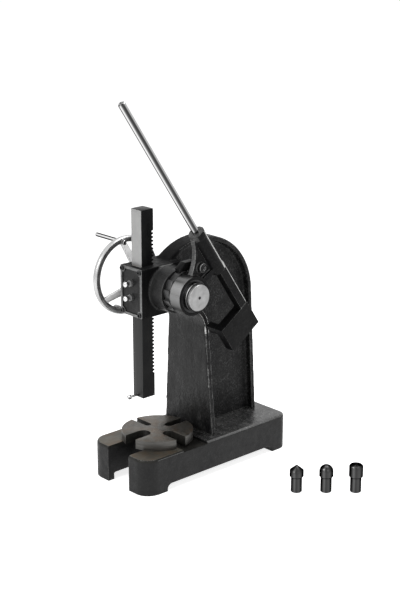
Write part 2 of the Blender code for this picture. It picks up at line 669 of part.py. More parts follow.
def pinion_outline():
    base_radius = PINION_RADIUS * math.cos(PRESSURE_ANGLE)
    tip = PINION_RADIUS + RACK_ADDENDUM
    root = PINION_RADIUS - RACK_DEDENDUM
    half_tooth = (RACK_PITCH - TOOTH_BACKLASH) / (4 * PINION_RADIUS)
    at_pitch = involute(base_radius, PINION_RADIUS)
    radii = [base_radius + (tip - base_radius) * step / FLANK_STEPS
             for step in range(FLANK_STEPS + 1)]
    flank = [(radius, half_tooth + at_pitch - involute(base_radius, radius)) for radius in radii]
    flank.insert(0, (root, flank[0][1]))
    points = []
    for tooth in range(PINION_TEETH):
        middle = math.pi + math.tau * tooth / PINION_TEETH
        points += [polar(radius, middle - half) for radius, half in flank]
        points += [polar(radius, middle + half) for radius, half in flank[::-1]]
    return points


JOURNAL_START = BUSH_INNER_END - END_PLAY
shaft = piece("pinion_shaft", prism(pinion_outline(), "X", -PINION_HALF_WIDTH,
                                    PINION_HALF_WIDTH), BRIGHT, SHAFT_AXIS)
groove_end = CLIP_START + CLIP_THICKNESS + FIT_GAP
journal_profile = [(0, PINION_HALF_WIDTH - OVERRUN),
                   (PINION_RADIUS - RACK_DEDENDUM - FIT_GAP, PINION_HALF_WIDTH - OVERRUN),
                   (PINION_RADIUS - RACK_DEDENDUM - FIT_GAP, JOURNAL_START),
                   (JOURNAL_RADIUS, JOURNAL_START),
                   (JOURNAL_RADIUS, CLIP_START - FIT_GAP),
                   (JOURNAL_RADIUS - CLIP_GROOVE_DEPTH, CLIP_START - FIT_GAP),
                   (JOURNAL_RADIUS - CLIP_GROOVE_DEPTH, groove_end),
                   (JOURNAL_RADIUS, groove_end),
                   (JOURNAL_RADIUS, SHAFT_RIGHT_END - SHAFT_CHAMFER),
                   (JOURNAL_RADIUS - SHAFT_CHAMFER, SHAFT_RIGHT_END),
                   (CENTRE_HOLE_RADIUS, SHAFT_RIGHT_END),
                   (0, SHAFT_RIGHT_END - CENTRE_HOLE_DEPTH)]
left_profile = [(0, -SHAFT_LEFT_END), (THREAD_RADIUS, -SHAFT_LEFT_END),
                (THREAD_RADIUS, -WHEEL_SEAT_END), (WHEEL_SEAT_RADIUS, -WHEEL_SEAT_END),
                (WHEEL_SEAT_RADIUS, -LEFT_JOURNAL_END),
                (LEFT_JOURNAL_RADIUS, -LEFT_JOURNAL_END),
                (LEFT_JOURNAL_RADIUS, OVERRUN - PINION_HALF_WIDTH),
                (0, OVERRUN - PINION_HALF_WIDTH)]
join(shaft, helper_on(SHAFT_AXIS, turned(journal_profile, "X")),
     helper_on(SHAFT_AXIS, turned(left_profile, "X")))


# Keys: half in the shaft and half in what they drive
def key_box(radius, start, end, slack):
    """A key at the shaft's top, grown on all sides by slack."""
    half = KEY_WIDTH / 2 + slack
    return box((start, -half, radius - KEY_DEPTH - slack), (end, half, radius + KEY_DEPTH + slack))


ratchet_key = (JOURNAL_RADIUS, RATCHET_INNER_END, RATCHET_OUTER_END)
WHEEL_KEY_END = -WHEEL_HUB_INNER - FIT_GAP
WHEEL_KEY_START = FIT_GAP - WHEEL_SEAT_END
wheel_key = (WHEEL_SEAT_RADIUS, WHEEL_KEY_START, WHEEL_KEY_END)
cut(shaft, helper_on(SHAFT_AXIS, key_box(*ratchet_key, 0)),
    helper_on(SHAFT_AXIS, key_box(*wheel_key, 0)))
for key_name, (radius, start, end) in (("ratchet_key", ratchet_key), ("wheel_key", wheel_key)):
    piece(key_name, key_box(radius, start + FIT_GAP, end - FIT_GAP, -FIT_GAP), BRIGHT, SHAFT_AXIS)

# Ratchet wheel: twelve long sloping teeth
RATCHET_PITCH = math.tau / RATCHET_TEETH
ratchet_outline = []
for tooth in range(RATCHET_TEETH):
    start = RATCHET_PHASE + tooth * RATCHET_PITCH
    for step in range(CORNER_STEPS + 1):
        share = step / CORNER_STEPS
        radius = RATCHET_TIP_RADIUS + (RATCHET_ROOT_RADIUS - RATCHET_TIP_RADIUS) * share
        ratchet_outline.append(polar(radius, start + RATCHET_PITCH * share))
ratchet = piece("ratchet_wheel", prism(ratchet_outline, "X", RATCHET_INNER_END,
                                       RATCHET_OUTER_END), BLACKENED, SHAFT_AXIS)
cut(ratchet, helper_on(SHAFT_AXIS, rod(JOURNAL_RADIUS + FIT_GAP, RATCHET_INNER_END - OVERRUN,
                                       RATCHET_OUTER_END + OVERRUN, "X")))
cut(ratchet, helper_on(SHAFT_AXIS, key_box(JOURNAL_RADIUS, RATCHET_INNER_END - OVERRUN,
                                           RATCHET_OUTER_END + OVERRUN, 0)))

# Lever casting: hub, sleeve for the bar, open frame and counterweight in one piece. A lug of the
# counterweight reaches in beside the column's flange.
DOWN_SLEEVE = Vector((-math.cos(SLEEVE_ANGLE), -math.sin(SLEEVE_ANGLE)))
ACROSS_SLEEVE = Vector((math.sin(SLEEVE_ANGLE), -math.cos(SLEEVE_ANGLE)))


def on_lever(across, down):
    """A point of the lever, from its distances across and down the sleeve's direction."""
    return tuple(ACROSS_SLEEVE * across + DOWN_SLEEVE * down)


def lever_slab(corners, half_width, steps=CORNER_STEPS):
    outline = rounded([(*on_lever(across, down), radius) for across, down, radius in corners], steps)
    return prism(outline, "X", LEVER_MID_X - half_width, LEVER_MID_X + half_width)


def along_sleeve(shape):
    """Turn a shape made along +X at the shaft so that it lies along the sleeve's own line."""
    swing = Matrix.Rotation(math.pi / 2, 4, "Z")
    flat = Matrix.Translation((LEVER_MID_X, *on_lever(SLEEVE_OFFSET, 0)))
    lift = Matrix.Rotation(SLEEVE_ANGLE, 4, "X")
    bmesh.ops.transform(shape, matrix=flat @ lift @ swing, verts=shape.verts)
    return shape


def bar_between(start, end, thickness, half_width):
    """A straight flat rib between two points of the lever's plane."""
    first = Vector(start)
    last = Vector(end)
    side = (last - first).normalized().orthogonal() * thickness / 2
    outline = [tuple(first - side), tuple(last - side), tuple(last + side), tuple(first + side)]
    return prism(outline, "X", LEVER_MID_X - half_width, LEVER_MID_X + half_width)


lever = piece("lever_arm", rod(HUB_RADIUS, HUB_INNER_END, HUB_OUTER_END, "X", ROUND_STEPS,
                               (0, 0, 0), SHAFT_CHAMFER), PAINT, SHAFT_AXIS)
sleeve = along_sleeve(rod(SLEEVE_RADIUS, -SLEEVE_LOWER, SLEEVE_UPPER, "X", ROUND_STEPS,
                          (0, 0, 0), SHAFT_CHAMFER))
beam = lever_slab([(BEAM_INNER, 0, 0), (BEAM_OUTER, 0, 0), (BEAM_OUTER, WEIGHT_START + OVERRUN, 0),
                   (BEAM_INNER, WEIGHT_START + OVERRUN, 0)], LEVER_HALF_WIDTH)
weight = lever_slab([(WEIGHT_NEAR, WEIGHT_START, WEIGHT_EDGE), (WEIGHT_FAR, WEIGHT_START, 0),
                     (WEIGHT_FAR, WEIGHT_END, WEIGHT_EDGE), (WEIGHT_NEAR, WEIGHT_END, WEIGHT_EDGE)],
                    WEIGHT_HALF_WIDTH)
crossbar = bar_between(polar(HUB_RADIUS - OVERRUN, CROSSBAR_ANGLE), on_lever(SLEEVE_OFFSET, 0),
                       CROSSBAR_THICKNESS, LEVER_HALF_WIDTH)
lug_near, lug_top = WEIGHT_NEAR + STOP_LUG_INSET, WEIGHT_START + STOP_LUG_INSET
lug_outline = rounded([(*on_lever(across, down), WEIGHT_EDGE) for across, down in
                       [(lug_near, lug_top), (lug_near + STOP_LUG_WIDTH, lug_top),
                        (lug_near + STOP_LUG_WIDTH, lug_top + STOP_LUG_THICKNESS),
                        (lug_near, lug_top + STOP_LUG_THICKNESS)]], CORNER_STEPS)
stop_lug = prism(lug_outline, "X", FLANGE_TOP_HALF + STOP_LUG_GAP, LEVER_MID_X)
rib_start = Vector(on_lever(SLEEVE_OFFSET - SLEEVE_RADIUS + OVERRUN, OVERRUN - SLEEVE_UPPER))
rib_end = Vector(polar(HUB_RADIUS - OVERRUN, RIB_ANGLE))
rib_bow = Vector((RIB_BOW, 0))
rib_points = []
for step in range(SWEEP_STEPS + 1):
    share = step / SWEEP_STEPS
    rib_points.append(rib_start.lerp(rib_end, share) + rib_bow * math.sin(math.pi * share))
rib_side = (rib_end - rib_start).orthogonal().normalized() * RIB_THICKNESS / 2
rib_outline = ([tuple(point - rib_side) for point in rib_points]
               + [tuple(point + rib_side) for point in rib_points[::-1]])
rib = prism(rib_outline, "X", LEVER_MID_X - RIB_HALF_WIDTH, LEVER_MID_X + RIB_HALF_WIDTH)
gusset_outline = ([tuple(point) for point in rib_points]
                  + [polar(HUB_RADIUS - OVERRUN, CROSSBAR_ANGLE),
                     on_lever(SLEEVE_OFFSET, 0), on_lever(SLEEVE_OFFSET, OVERRUN - SLEEVE_UPPER)])
gusset = prism(gusset_outline, "X", LEVER_MID_X - LEVER_WEB_HALF, LEVER_MID_X + LEVER_WEB_HALF)
pivot_boss = rod(PIVOT_BOSS_RADIUS, HUB_INNER_END, PAWL_BOSS_END, "X", SMALL_STEPS,
                 (0, PIVOT_Y, PIVOT_Z))
for shape in (sleeve, beam, weight, crossbar, stop_lug, gusset, rib, pivot_boss):
    join(lever, helper_on(SHAFT_AXIS, shape))
cut(lever, helper_on(SHAFT_AXIS, rod(JOURNAL_RADIUS + FIT_GAP, HUB_INNER_END - OVERRUN,
                                     HUB_OUTER_END + OVERRUN, "X")))
cut(lever, helper_on(SHAFT_AXIS, rod(HUB_RECESS_RADIUS, HUB_OUTER_END - HUB_RECESS_DEPTH,
                                     HUB_OUTER_END + OVERRUN, "X")))
cut(lever, helper_on(SHAFT_AXIS, rod(PAWL_PIN_RADIUS + FIT_GAP, HUB_INNER_END - OVERRUN,
                                     PAWL_BOSS_END + OVERRUN, "X", SMALL_STEPS,
                                     (0, PIVOT_Y, PIVOT_Z))))
bar_bottom = SLEEVE_UPPER - SOCKET_BAR_DEPTH
cut(lever, helper_on(SHAFT_AXIS, along_sleeve(rod(BAR_RADIUS + FIT_GAP, bar_bottom - FIT_GAP,
                                                  SLEEVE_UPPER + OVERRUN, "X", SMALL_STEPS))))

# Lever bar: a polished rod, held in the sleeve by a set screw
piece("lever_bar", along_sleeve(rod(BAR_RADIUS, bar_bottom, BAR_TIP_DISTANCE, "X", SMALL_STEPS,
                                    (0, 0, 0), BAR_TIP_CHAMFER)), CHROME, SHAFT_AXIS)


def at_set_screw(shape):
    """Place a shape made along +X on the sleeve's rear side, square to the bar."""
    place = on_lever(SLEEVE_OFFSET, -SET_SCREW_PLACE)
    turn = Matrix.Rotation(SLEEVE_ANGLE - math.pi / 2, 4, "X") @ Matrix.Rotation(math.pi / 2, 4, "Z")
    bmesh.ops.transform(shape, matrix=Matrix.Translation((LEVER_MID_X, *place)) @ turn,
                        verts=shape.verts)
    return shape


cut(lever, helper_on(SHAFT_AXIS, at_set_screw(rod(SET_SCREW_RADIUS + FIT_GAP, 0,
                                                  SLEEVE_RADIUS + OVERRUN, "X", SMALL_STEPS))))
set_screw = piece("bar_set_screw", at_set_screw(rod(SET_SCREW_RADIUS, BAR_RADIUS + FIT_GAP,
                                                    SLEEVE_RADIUS + SET_SCREW_PROUD, "X",
                                                    SMALL_STEPS)), OXIDE, SHAFT_AXIS)
cut(set_screw, helper_on(SHAFT_AXIS, at_set_screw(
    hexagon(HEX_SOCKET_RADIUS, SLEEVE_RADIUS + SET_SCREW_PROUD - HEX_SOCKET_DEPTH,
            SLEEVE_RADIUS + SET_SCREW_PROUD + OVERRUN, "X"))))

# Pawl: shown lifted clear of the teeth, drawn from its pivot as it lies when engaged
tip_angle = RATCHET_PHASE - PAWL_TIP_LEAD
tip_low = Vector(polar(RATCHET_ROOT_RADIUS + PAWL_TIP_CLEARANCE, tip_angle))
tip_high = Vector(polar(RATCHET_TIP_RADIUS + PAWL_TIP_PROUD, tip_angle))
slope = [Vector(polar(RATCHET_ROOT_RADIUS + (RATCHET_TIP_RADIUS - RATCHET_ROOT_RADIUS) * share
                      + PAWL_SLOPE_CLEARANCE, RATCHET_PHASE - RATCHET_PITCH * share))
         for share in PAWL_SLOPE_SHARES]
back_low = Vector((PIVOT_Y, PIVOT_Z - PAWL_BACK_LOW))
back_high = Vector((PIVOT_Y, PIVOT_Z + PAWL_BACK_HIGH))
nose_top = Vector((PIVOT_Y - PAWL_NOSE_FORWARD, PIVOT_Z + PAWL_NOSE_HEIGHT))
pawl_points = [tip_high, tip_low, *slope, back_low, back_high, nose_top]
pivot = Vector((PIVOT_Y, PIVOT_Z))
raise_pawl = Matrix.Rotation(-PAWL_LIFT, 2)
pawl_outline = [tuple(raise_pawl @ (point - pivot)) for point in pawl_points]
pawl = piece("pawl", prism(pawl_outline, "X", PAWL_INNER, PAWL_OUTER), BLACKENED, PAWL_AXIS)
join(pawl, helper_on(PAWL_AXIS, rod(PIVOT_BOSS_RADIUS, PAWL_INNER, PAWL_OUTER, "X", SMALL_STEPS)))
cut(pawl, helper_on(PAWL_AXIS, rod(PAWL_PIN_RADIUS + FIT_GAP, PAWL_INNER - OVERRUN,
                                   PAWL_OUTER + OVERRUN, "X", SMALL_STEPS)))
knob_start = PAWL_BOSS_END + FIT_GAP
knob_profile = [(0, PAWL_INNER), (PAWL_PIN_RADIUS, PAWL_INNER), (PAWL_PIN_RADIUS, knob_start),
                (PAWL_KNOB_RADIUS, knob_start),
                (PAWL_KNOB_RADIUS, knob_start + PAWL_KNOB_LENGTH - SHAFT_CHAMFER),
                (PAWL_KNOB_RADIUS - SHAFT_CHAMFER, knob_start + PAWL_KNOB_LENGTH),
                (CENTRE_HOLE_RADIUS, knob_start + PAWL_KNOB_LENGTH),
                (0, knob_start + PAWL_KNOB_LENGTH - CENTRE_HOLE_RADIUS)]
piece("pawl_pin", turned(knob_profile, "X", SMALL_STEPS), BLACKENED, PAWL_AXIS)

# Washer, collar and retaining ring outside the lever's hub
washer_start = HUB_OUTER_END - HUB_RECESS_DEPTH + FIT_GAP
washer_end = washer_start + WASHER_THICKNESS
piece("thrust_washer", ring(BUSH_BORE, WASHER_RADIUS, washer_start, washer_end, "X"), OXIDE,
      SHAFT_AXIS)
piece("spacer_collar", ring(BUSH_BORE, COLLAR_RADIUS, washer_end + FIT_GAP, CLIP_START - FIT_GAP,
                            "X"), BRIGHT, SHAFT_AXIS)
piece("retaining_ring", ring(JOURNAL_RADIUS - CLIP_GROOVE_DEPTH + FIT_GAP, CLIP_RADIUS, CLIP_START,
                             CLIP_START + CLIP_THICKNESS, "X"), OXIDE, SHAFT_AXIS)

# Gib: the bronze shoe that takes up the ram's play
gib_front = -RAM_SIDE / 2 - FIT_GAP - GIB_THICKNESS
piece("gib_shoe", box((-GIB_HALF_WIDTH, gib_front, HEAD_BOTTOM + GIB_MARGIN),
                      (GIB_HALF_WIDTH, gib_front + GIB_THICKNESS, HEAD_TOP - GIB_MARGIN)),
      BRONZE, DATUM)

# Cover plate with a raised border, its four socket screws, and the gib's two adjusting bolts
COVER_BACK = HEAD_FRONT - FIT_GAP
COVER_FACE = COVER_BACK - COVER_THICKNESS
cover_outline = rounded([(-COVER_HALF_WIDTH, COVER_BOTTOM, COVER_CORNER),
                         (COVER_HALF_WIDTH, COVER_BOTTOM, COVER_CORNER),
                         (COVER_HALF_WIDTH, COVER_TOP, COVER_CORNER),
                         (-COVER_HALF_WIDTH, COVER_TOP, COVER_CORNER)], CORNER_STEPS)
cover = piece("cover_plate", prism(cover_outline, "Y", COVER_FACE, COVER_BACK), GLOSS, DATUM)
panel_side = COVER_HALF_WIDTH - COVER_BORDER
panel_low = COVER_BOTTOM + COVER_BORDER
panel_high = COVER_TOP - COVER_BORDER
panel = rounded([(-panel_side, panel_low, COVER_BORDER), (panel_side, panel_low, COVER_BORDER),
                 (panel_side, panel_high, COVER_BORDER), (-panel_side, panel_high, COVER_BORDER)],
                CORNER_STEPS)
PANEL_FACE = COVER_FACE + COVER_PANEL_DEPTH
cut(cover, helper(prism(panel, "Y", COVER_FACE - OVERRUN, PANEL_FACE)))
screw_side = COVER_HALF_WIDTH - COVER_SCREW_INSET
screw_low = COVER_BOTTOM + COVER_SCREW_INSET
screw_high = COVER_TOP - COVER_SCREW_INSET
screw_places = [(-screw_side, screw_low), (screw_side, screw_low),
                (-screw_side, screw_high), (screw_side, screw_high)]
SCREW_SEAT = PANEL_FACE + FIT_GAP
for screw_x, screw_z in screw_places:
    at_screw = (screw_x, 0, screw_z)
    cut(cover, helper(rod(COVER_SCREW_HEAD + FIT_GAP, COVER_FACE - OVERRUN, SCREW_SEAT, "Y",
                          SMALL_STEPS, at_screw)))
    cut(cover, helper(rod(COVER_SCREW_RADIUS + FIT_GAP, COVER_FACE, COVER_BACK + OVERRUN, "Y",
                          SMALL_STEPS, at_screw)))
    cut(column, helper(rod(COVER_SCREW_RADIUS + FIT_GAP, HEAD_FRONT - OVERRUN,
                           SCREW_SEAT + COVER_SCREW_DEPTH + FIT_GAP, "Y", SMALL_STEPS, at_screw)))
for number, (screw_x, screw_z) in enumerate(screw_places, 1):
    at_screw = (screw_x, 0, screw_z)
    head_back = SCREW_SEAT - FIT_GAP
    head_face = head_back - COVER_SCREW_HEAD_LENGTH
    screw_profile = [(0, head_face), (COVER_SCREW_HEAD, head_face), (COVER_SCREW_HEAD, head_back),
                     (COVER_SCREW_RADIUS, head_back),
                     (COVER_SCREW_RADIUS, SCREW_SEAT + COVER_SCREW_DEPTH),
                     (0, SCREW_SEAT + COVER_SCREW_DEPTH)]
    screw = piece(f"cover_screw_{number}", turned(screw_profile, "Y", SMALL_STEPS, at_screw), OXIDE,
                  DATUM)
    cut(screw, helper(hexagon(HEX_SOCKET_RADIUS, head_face - OVERRUN,
                              head_face + HEX_SOCKET_DEPTH, "Y", at_screw)))
for number, side in enumerate((-1, 1), 1):
    at_bolt = (0, 0, SHAFT_Z + side * ADJUST_SPACING / 2)
    cut(cover, helper(rod(ADJUST_RADIUS + FIT_GAP, COVER_FACE - OVERRUN, COVER_BACK + OVERRUN, "Y",
                          SMALL_STEPS, at_bolt)))
    bolt_face = COVER_FACE - ADJUST_PROUD
    head_back = bolt_face + ADJUST_HEAD_LENGTH
    bolt_profile = [(0, bolt_face), (ADJUST_HEAD_RADIUS, bolt_face), (ADJUST_HEAD_RADIUS, head_back),
                    (ADJUST_RADIUS, head_back), (ADJUST_RADIUS, gib_front - FIT_GAP),
                    (0, gib_front - FIT_GAP)]
    piece(f"adjusting_bolt_{number}", turned(bolt_profile, "Y", SMALL_STEPS, at_bolt), CHROME, DATUM)
    nut = piece(f"lock_nut_{number}", hexagon(LOCK_NUT_RADIUS, PANEL_FACE - FIT_GAP - LOCK_NUT_LENGTH,
                                              PANEL_FACE - FIT_GAP, "Y", at_bolt), CHROME, DATUM)
    cut(nut, helper(rod(ADJUST_RADIUS + FIT_GAP, PANEL_FACE - LOCK_NUT_LENGTH - OVERRUN,
                        PANEL_FACE + OVERRUN, "Y", SMALL_STEPS, at_bolt)))

# Handwheel: a polished wheel with three flat spokes, keyed to the shaft's left end
rim_inner = WHEEL_RADIUS - WHEEL_RIM_DEPTH
rim_section = rounded([(rim_inner, -WHEEL_X - WHEEL_RIM_HALF, WHEEL_RIM_ROUND),
                       (WHEEL_RADIUS, -WHEEL_X - WHEEL_RIM_HALF, WHEEL_RIM_ROUND),
                       (WHEEL_RADIUS, -WHEEL_X + WHEEL_RIM_HALF, WHEEL_RIM_ROUND),
                       (rim_inner, -WHEEL_X + WHEEL_RIM_HALF, WHEEL_RIM_ROUND)], RIM_CORNER_STEPS)
wheel = piece("handwheel", turned(rim_section, "X", RIM_STEPS, (0, 0, 0), True),
              POLISHED, SHAFT_AXIS)
join(wheel, helper_on(SHAFT_AXIS, rod(WHEEL_HUB_RADIUS, -WHEEL_SEAT_END + FIT_GAP,
                                      -WHEEL_HUB_INNER, "X", ROUND_STEPS, (0, 0, 0),
                                      SHAFT_CHAMFER)))
hub_plane = (WHEEL_HUB_INNER + WHEEL_SEAT_END) / 2
spoke_end = WHEEL_RADIUS - WHEEL_RIM_DEPTH / 2
dish = (WHEEL_X - hub_plane) / (spoke_end - WHEEL_HUB_RADIUS)
slant = Matrix.Identity(4)
slant[0][1] = -dish
slant[0][3] = dish * WHEEL_HUB_RADIUS - hub_plane
spoke_start = (WHEEL_HUB_RADIUS + WHEEL_SEAT_RADIUS) / 2
spoke_outline = [(spoke_start, -SPOKE_HUB_WIDTH / 2), (spoke_end, -SPOKE_RIM_WIDTH / 2),
                 (spoke_end, SPOKE_RIM_WIDTH / 2), (spoke_start, SPOKE_HUB_WIDTH / 2)]
for spoke_angle in SPOKE_ANGLES:
    spoke = prism(spoke_outline, "X", -SPOKE_HALF_THICKNESS, SPOKE_HALF_THICKNESS)
    bmesh.ops.transform(spoke, matrix=Matrix.Rotation(spoke_angle, 4, "X") @ slant, verts=spoke.verts)
    join(wheel, helper_on(SHAFT_AXIS, spoke))
crank_place = (0, *polar(CRANK_RADIUS, SPOKE_ANGLES[0]))
join(wheel, helper_on(SHAFT_AXIS, rod(CRANK_PAD_RADIUS, -WHEEL_X - CRANK_PAD_HALF,
                                      -WHEEL_X + CRANK_PAD_HALF, "X", SMALL_STEPS, crank_place)))
cut(wheel, helper_on(SHAFT_AXIS, rod(CRANK_SPOT_RADIUS, -WHEEL_X + CRANK_PAD_HALF,
                                     -WHEEL_X + CRANK_PAD_HALF + CRANK_SPOT_DEPTH, "X", SMALL_STEPS,
                                     crank_place)))
cut(wheel, helper_on(SHAFT_AXIS, rod(CRANK_BOLT_RADIUS + FIT_GAP, -WHEEL_X - CRANK_PAD_HALF - OVERRUN,
                                     -WHEEL_X + CRANK_PAD_HALF + OVERRUN, "X", SMALL_STEPS,
                                     crank_place)))
cut(wheel, helper_on(SHAFT_AXIS, rod(WHEEL_SEAT_RADIUS + FIT_GAP, -WHEEL_SEAT_END - OVERRUN,
                                     OVERRUN - WHEEL_HUB_INNER, "X")))
cut(wheel, helper_on(SHAFT_AXIS, key_box(WHEEL_SEAT_RADIUS, -WHEEL_SEAT_END - OVERRUN,
                                         OVERRUN - WHEEL_HUB_INNER, 0)))
washer_near = -WHEEL_SEAT_END - FIT_GAP
washer_far = washer_near - WHEEL_WASHER_THICKNESS
piece("wheel_washer", ring(THREAD_RADIUS + FIT_GAP, WASHER_OUTER, washer_far, washer_near, "X"),
      BRIGHT, SHAFT_AXIS)
nut_start = washer_far - FIT_GAP
wheel_nut = piece("wheel_nut", hexagon(NUT_RADIUS, nut_start - NUT_LENGTH, nut_start, "X"), BRIGHT,
                  SHAFT_AXIS)
cut(wheel_nut, helper_on(SHAFT_AXIS, rod(THREAD_RADIUS + FIT_GAP, nut_start - NUT_LENGTH - OVERRUN,
                                         nut_start + OVERRUN, "X", SMALL_STEPS)))

# Crank: a bolt through the rim that carries a turning sleeve grip
grip_start = -CRANK_PAD_HALF - FIT_GAP
bolt_inner = CRANK_PAD_HALF + FIT_GAP
cap_start = grip_start - GRIP_LENGTH - FIT_GAP
crank_profile = [(0, cap_start - CRANK_CAP_THICKNESS), (GRIP_RADIUS, cap_start - CRANK_CAP_THICKNESS),
                 (GRIP_RADIUS, cap_start), (CRANK_BOLT_RADIUS, cap_start),
                 (CRANK_BOLT_RADIUS, bolt_inner), (GRIP_RADIUS, bolt_inner),
                 (GRIP_RADIUS, bolt_inner + CRANK_CAP_THICKNESS), (0, bolt_inner + CRANK_CAP_THICKNESS)]
piece("crank_bolt", turned(crank_profile, "X", SMALL_STEPS), CHROME, CRANK_AXIS)
piece("crank_grip", ring(CRANK_BOLT_RADIUS + FIT_GAP, GRIP_RADIUS, grip_start - GRIP_LENGTH,
                         grip_start, "X", SMALL_STEPS), CHROME, CRANK_AXIS)


# Punches: one conical, one domed and one flat, each with a shank that fits the ram's socket
def punch_profile(head_length, tip_length, tip_shares):
    """A turned shank and head, with a tip given as shares of the head's radius and the tip's length."""
    crown = PUNCH_SHANK_LENGTH + head_length
    profile = [(0, 0), (PUNCH_SHANK_RADIUS - PUNCH_CHAMFER, 0), (PUNCH_SHANK_RADIUS, PUNCH_CHAMFER),
               (PUNCH_SHANK_RADIUS, PUNCH_SHANK_LENGTH),
               (PUNCH_HEAD_RADIUS, PUNCH_SHANK_LENGTH + PUNCH_HEAD_RADIUS - PUNCH_SHANK_RADIUS),
               (PUNCH_HEAD_RADIUS, crown)]
    return profile + [(radius * PUNCH_HEAD_RADIUS, crown + rise * tip_length)
                      for radius, rise in tip_shares]


dome_shares = [(math.cos(math.pi / 2 * step / ARC_STEPS), math.sin(math.pi / 2 * step / ARC_STEPS))
               for step in range(1, ARC_STEPS)] + [(0, 1)]
punch_forms = [("punch_cone", CONE_HEAD_LENGTH, CONE_LENGTH, CONE_SHARES),
               ("punch_dome", DOME_HEAD_LENGTH, PUNCH_HEAD_RADIUS, dome_shares),
               ("punch_flat", FLAT_HEAD_LENGTH, FLAT_LENGTH, FLAT_SHARES)]
for number, (punch_name, *form) in enumerate(punch_forms):
    spot = empty(f"{punch_name}_spot", (PUNCH_FIRST[0] + PUNCH_STEP[0] * number,
                                        PUNCH_FIRST[1] + PUNCH_STEP[1] * number, 0), DATUM)
    piece(punch_name, turned(punch_profile(*form), "Z", ROUND_STEPS), BLACKENED, spot)
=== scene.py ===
import math

import bpy
from mathutils import Matrix, Vector


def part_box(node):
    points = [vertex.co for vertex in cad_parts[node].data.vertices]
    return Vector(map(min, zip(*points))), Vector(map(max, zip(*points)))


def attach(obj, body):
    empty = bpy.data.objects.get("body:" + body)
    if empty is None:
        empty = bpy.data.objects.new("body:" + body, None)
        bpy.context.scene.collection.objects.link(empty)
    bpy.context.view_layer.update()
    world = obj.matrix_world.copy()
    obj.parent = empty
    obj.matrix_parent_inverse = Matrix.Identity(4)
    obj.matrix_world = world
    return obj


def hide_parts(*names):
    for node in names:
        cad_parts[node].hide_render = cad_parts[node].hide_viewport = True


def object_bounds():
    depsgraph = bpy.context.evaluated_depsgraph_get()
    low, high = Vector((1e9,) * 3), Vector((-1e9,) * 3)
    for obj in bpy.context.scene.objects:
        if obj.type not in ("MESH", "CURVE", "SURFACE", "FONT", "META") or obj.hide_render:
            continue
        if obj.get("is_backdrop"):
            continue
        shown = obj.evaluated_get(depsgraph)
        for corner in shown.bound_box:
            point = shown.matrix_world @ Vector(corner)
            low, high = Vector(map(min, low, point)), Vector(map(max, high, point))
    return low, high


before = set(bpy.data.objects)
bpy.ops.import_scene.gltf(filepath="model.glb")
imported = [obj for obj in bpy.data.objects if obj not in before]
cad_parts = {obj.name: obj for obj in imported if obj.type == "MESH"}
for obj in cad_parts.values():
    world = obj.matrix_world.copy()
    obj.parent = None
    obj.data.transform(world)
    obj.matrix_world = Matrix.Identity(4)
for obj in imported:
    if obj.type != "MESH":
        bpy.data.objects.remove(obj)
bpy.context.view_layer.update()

# Base casting: grey iron, cast hollow with a notch at the front for long work. It stands on two front
# feet and one rear foot. The front lands and the seat of the plate are milled bare, the rest is black.
FLOOR_Z = -0.126
BELOW = FLOOR_Z - 0.01
DECK_Z = -0.026
BASE_SIDE = 0.115
BASE_FRONT = -0.138
BASE_REAR = 0.385
MILLING = 0.0015
NOTCH_HALF = 0.0415
NOTCH_END = -0.060
ARCH_TOP = -0.108
HOLLOW_TOP = -0.048
SEAT_Z = -0.032
SEAT_REAR = 0.078
PIN_BORE = 0.0083


def mode(name):
    bpy.ops.object.mode_set(mode=name)


def fresh():
    """Put every shape down, so that the next tool acts on the new one alone."""
    if bpy.context.mode != "OBJECT":
        mode("OBJECT")
    bpy.ops.object.select_all(action="DESELECT")


def take(shape):
    """Pick one shape up."""
    fresh()
    shape.select_set(True)
    bpy.context.view_layer.objects.active = shape


def settle(name):
    """Name the new primitive, and put its place and size into its mesh."""
    shape = bpy.context.object
    shape.name = shape.data.name = name
    bpy.ops.object.transform_apply(location=True, rotation=True, scale=True)
    return shape


def place(axis, along, first, second):
    """A point from its distance along an axis and its two other coordinates in XYZ order."""
    return {"X": (along, first, second), "Y": (first, along, second), "Z": (first, second, along)}[axis]


def block(name, low, high):
    """A block between two opposite corners."""
    fresh()
    middle = [(a + b) / 2 for a, b in zip(low, high)]
    bpy.ops.mesh.primitive_cube_add(size=1, location=middle, scale=[b - a for a, b in zip(low, high)])
    return settle(name)


def drum(name, axis, radius, start, end, centre=(0, 0), steps=96):
    """A round bar along an axis."""
    fresh()
    turn = {"X": (0, math.pi / 2, 0), "Y": (math.pi / 2, 0, 0), "Z": (0, 0, 0)}[axis]
    bpy.ops.mesh.primitive_cylinder_add(vertices=steps, radius=radius, depth=end - start, rotation=turn,
                                        location=place(axis, (start + end) / 2, *centre))
    return settle(name)


def work(shape, kind, **settings):
    """Put a shape through one modifier."""
    take(shape)
    step = shape.modifiers.new(kind, kind)
    for name, value in settings.items():
        setattr(step, name, value)
    bpy.ops.object.modifier_apply(modifier=step.name)


def carve(shape, *tools, operation="DIFFERENCE"):
    """Cut a shape with tools, and put them away."""
    for tool in tools:
        work(shape, "BOOLEAN", operation=operation, solver="EXACT", object=tool)
        bpy.data.objects.remove(tool, do_unlink=True)
    return shape


def add(shape, *lumps):
    """Join lumps to a shape."""
    return carve(shape, *lumps, operation="UNION")


def choose(shape, kind, chosen):
    """Open a shape for editing, with those of its edges or faces selected that pass a test."""
    take(shape)
    mode("EDIT")
    bpy.ops.mesh.select_mode(type=kind)
    bpy.ops.mesh.select_all(action="DESELECT")
    mode("OBJECT")
    for part in shape.data.edges if kind == "EDGE" else shape.data.polygons:
        part.select = bool(chosen(part))
    mode("EDIT")


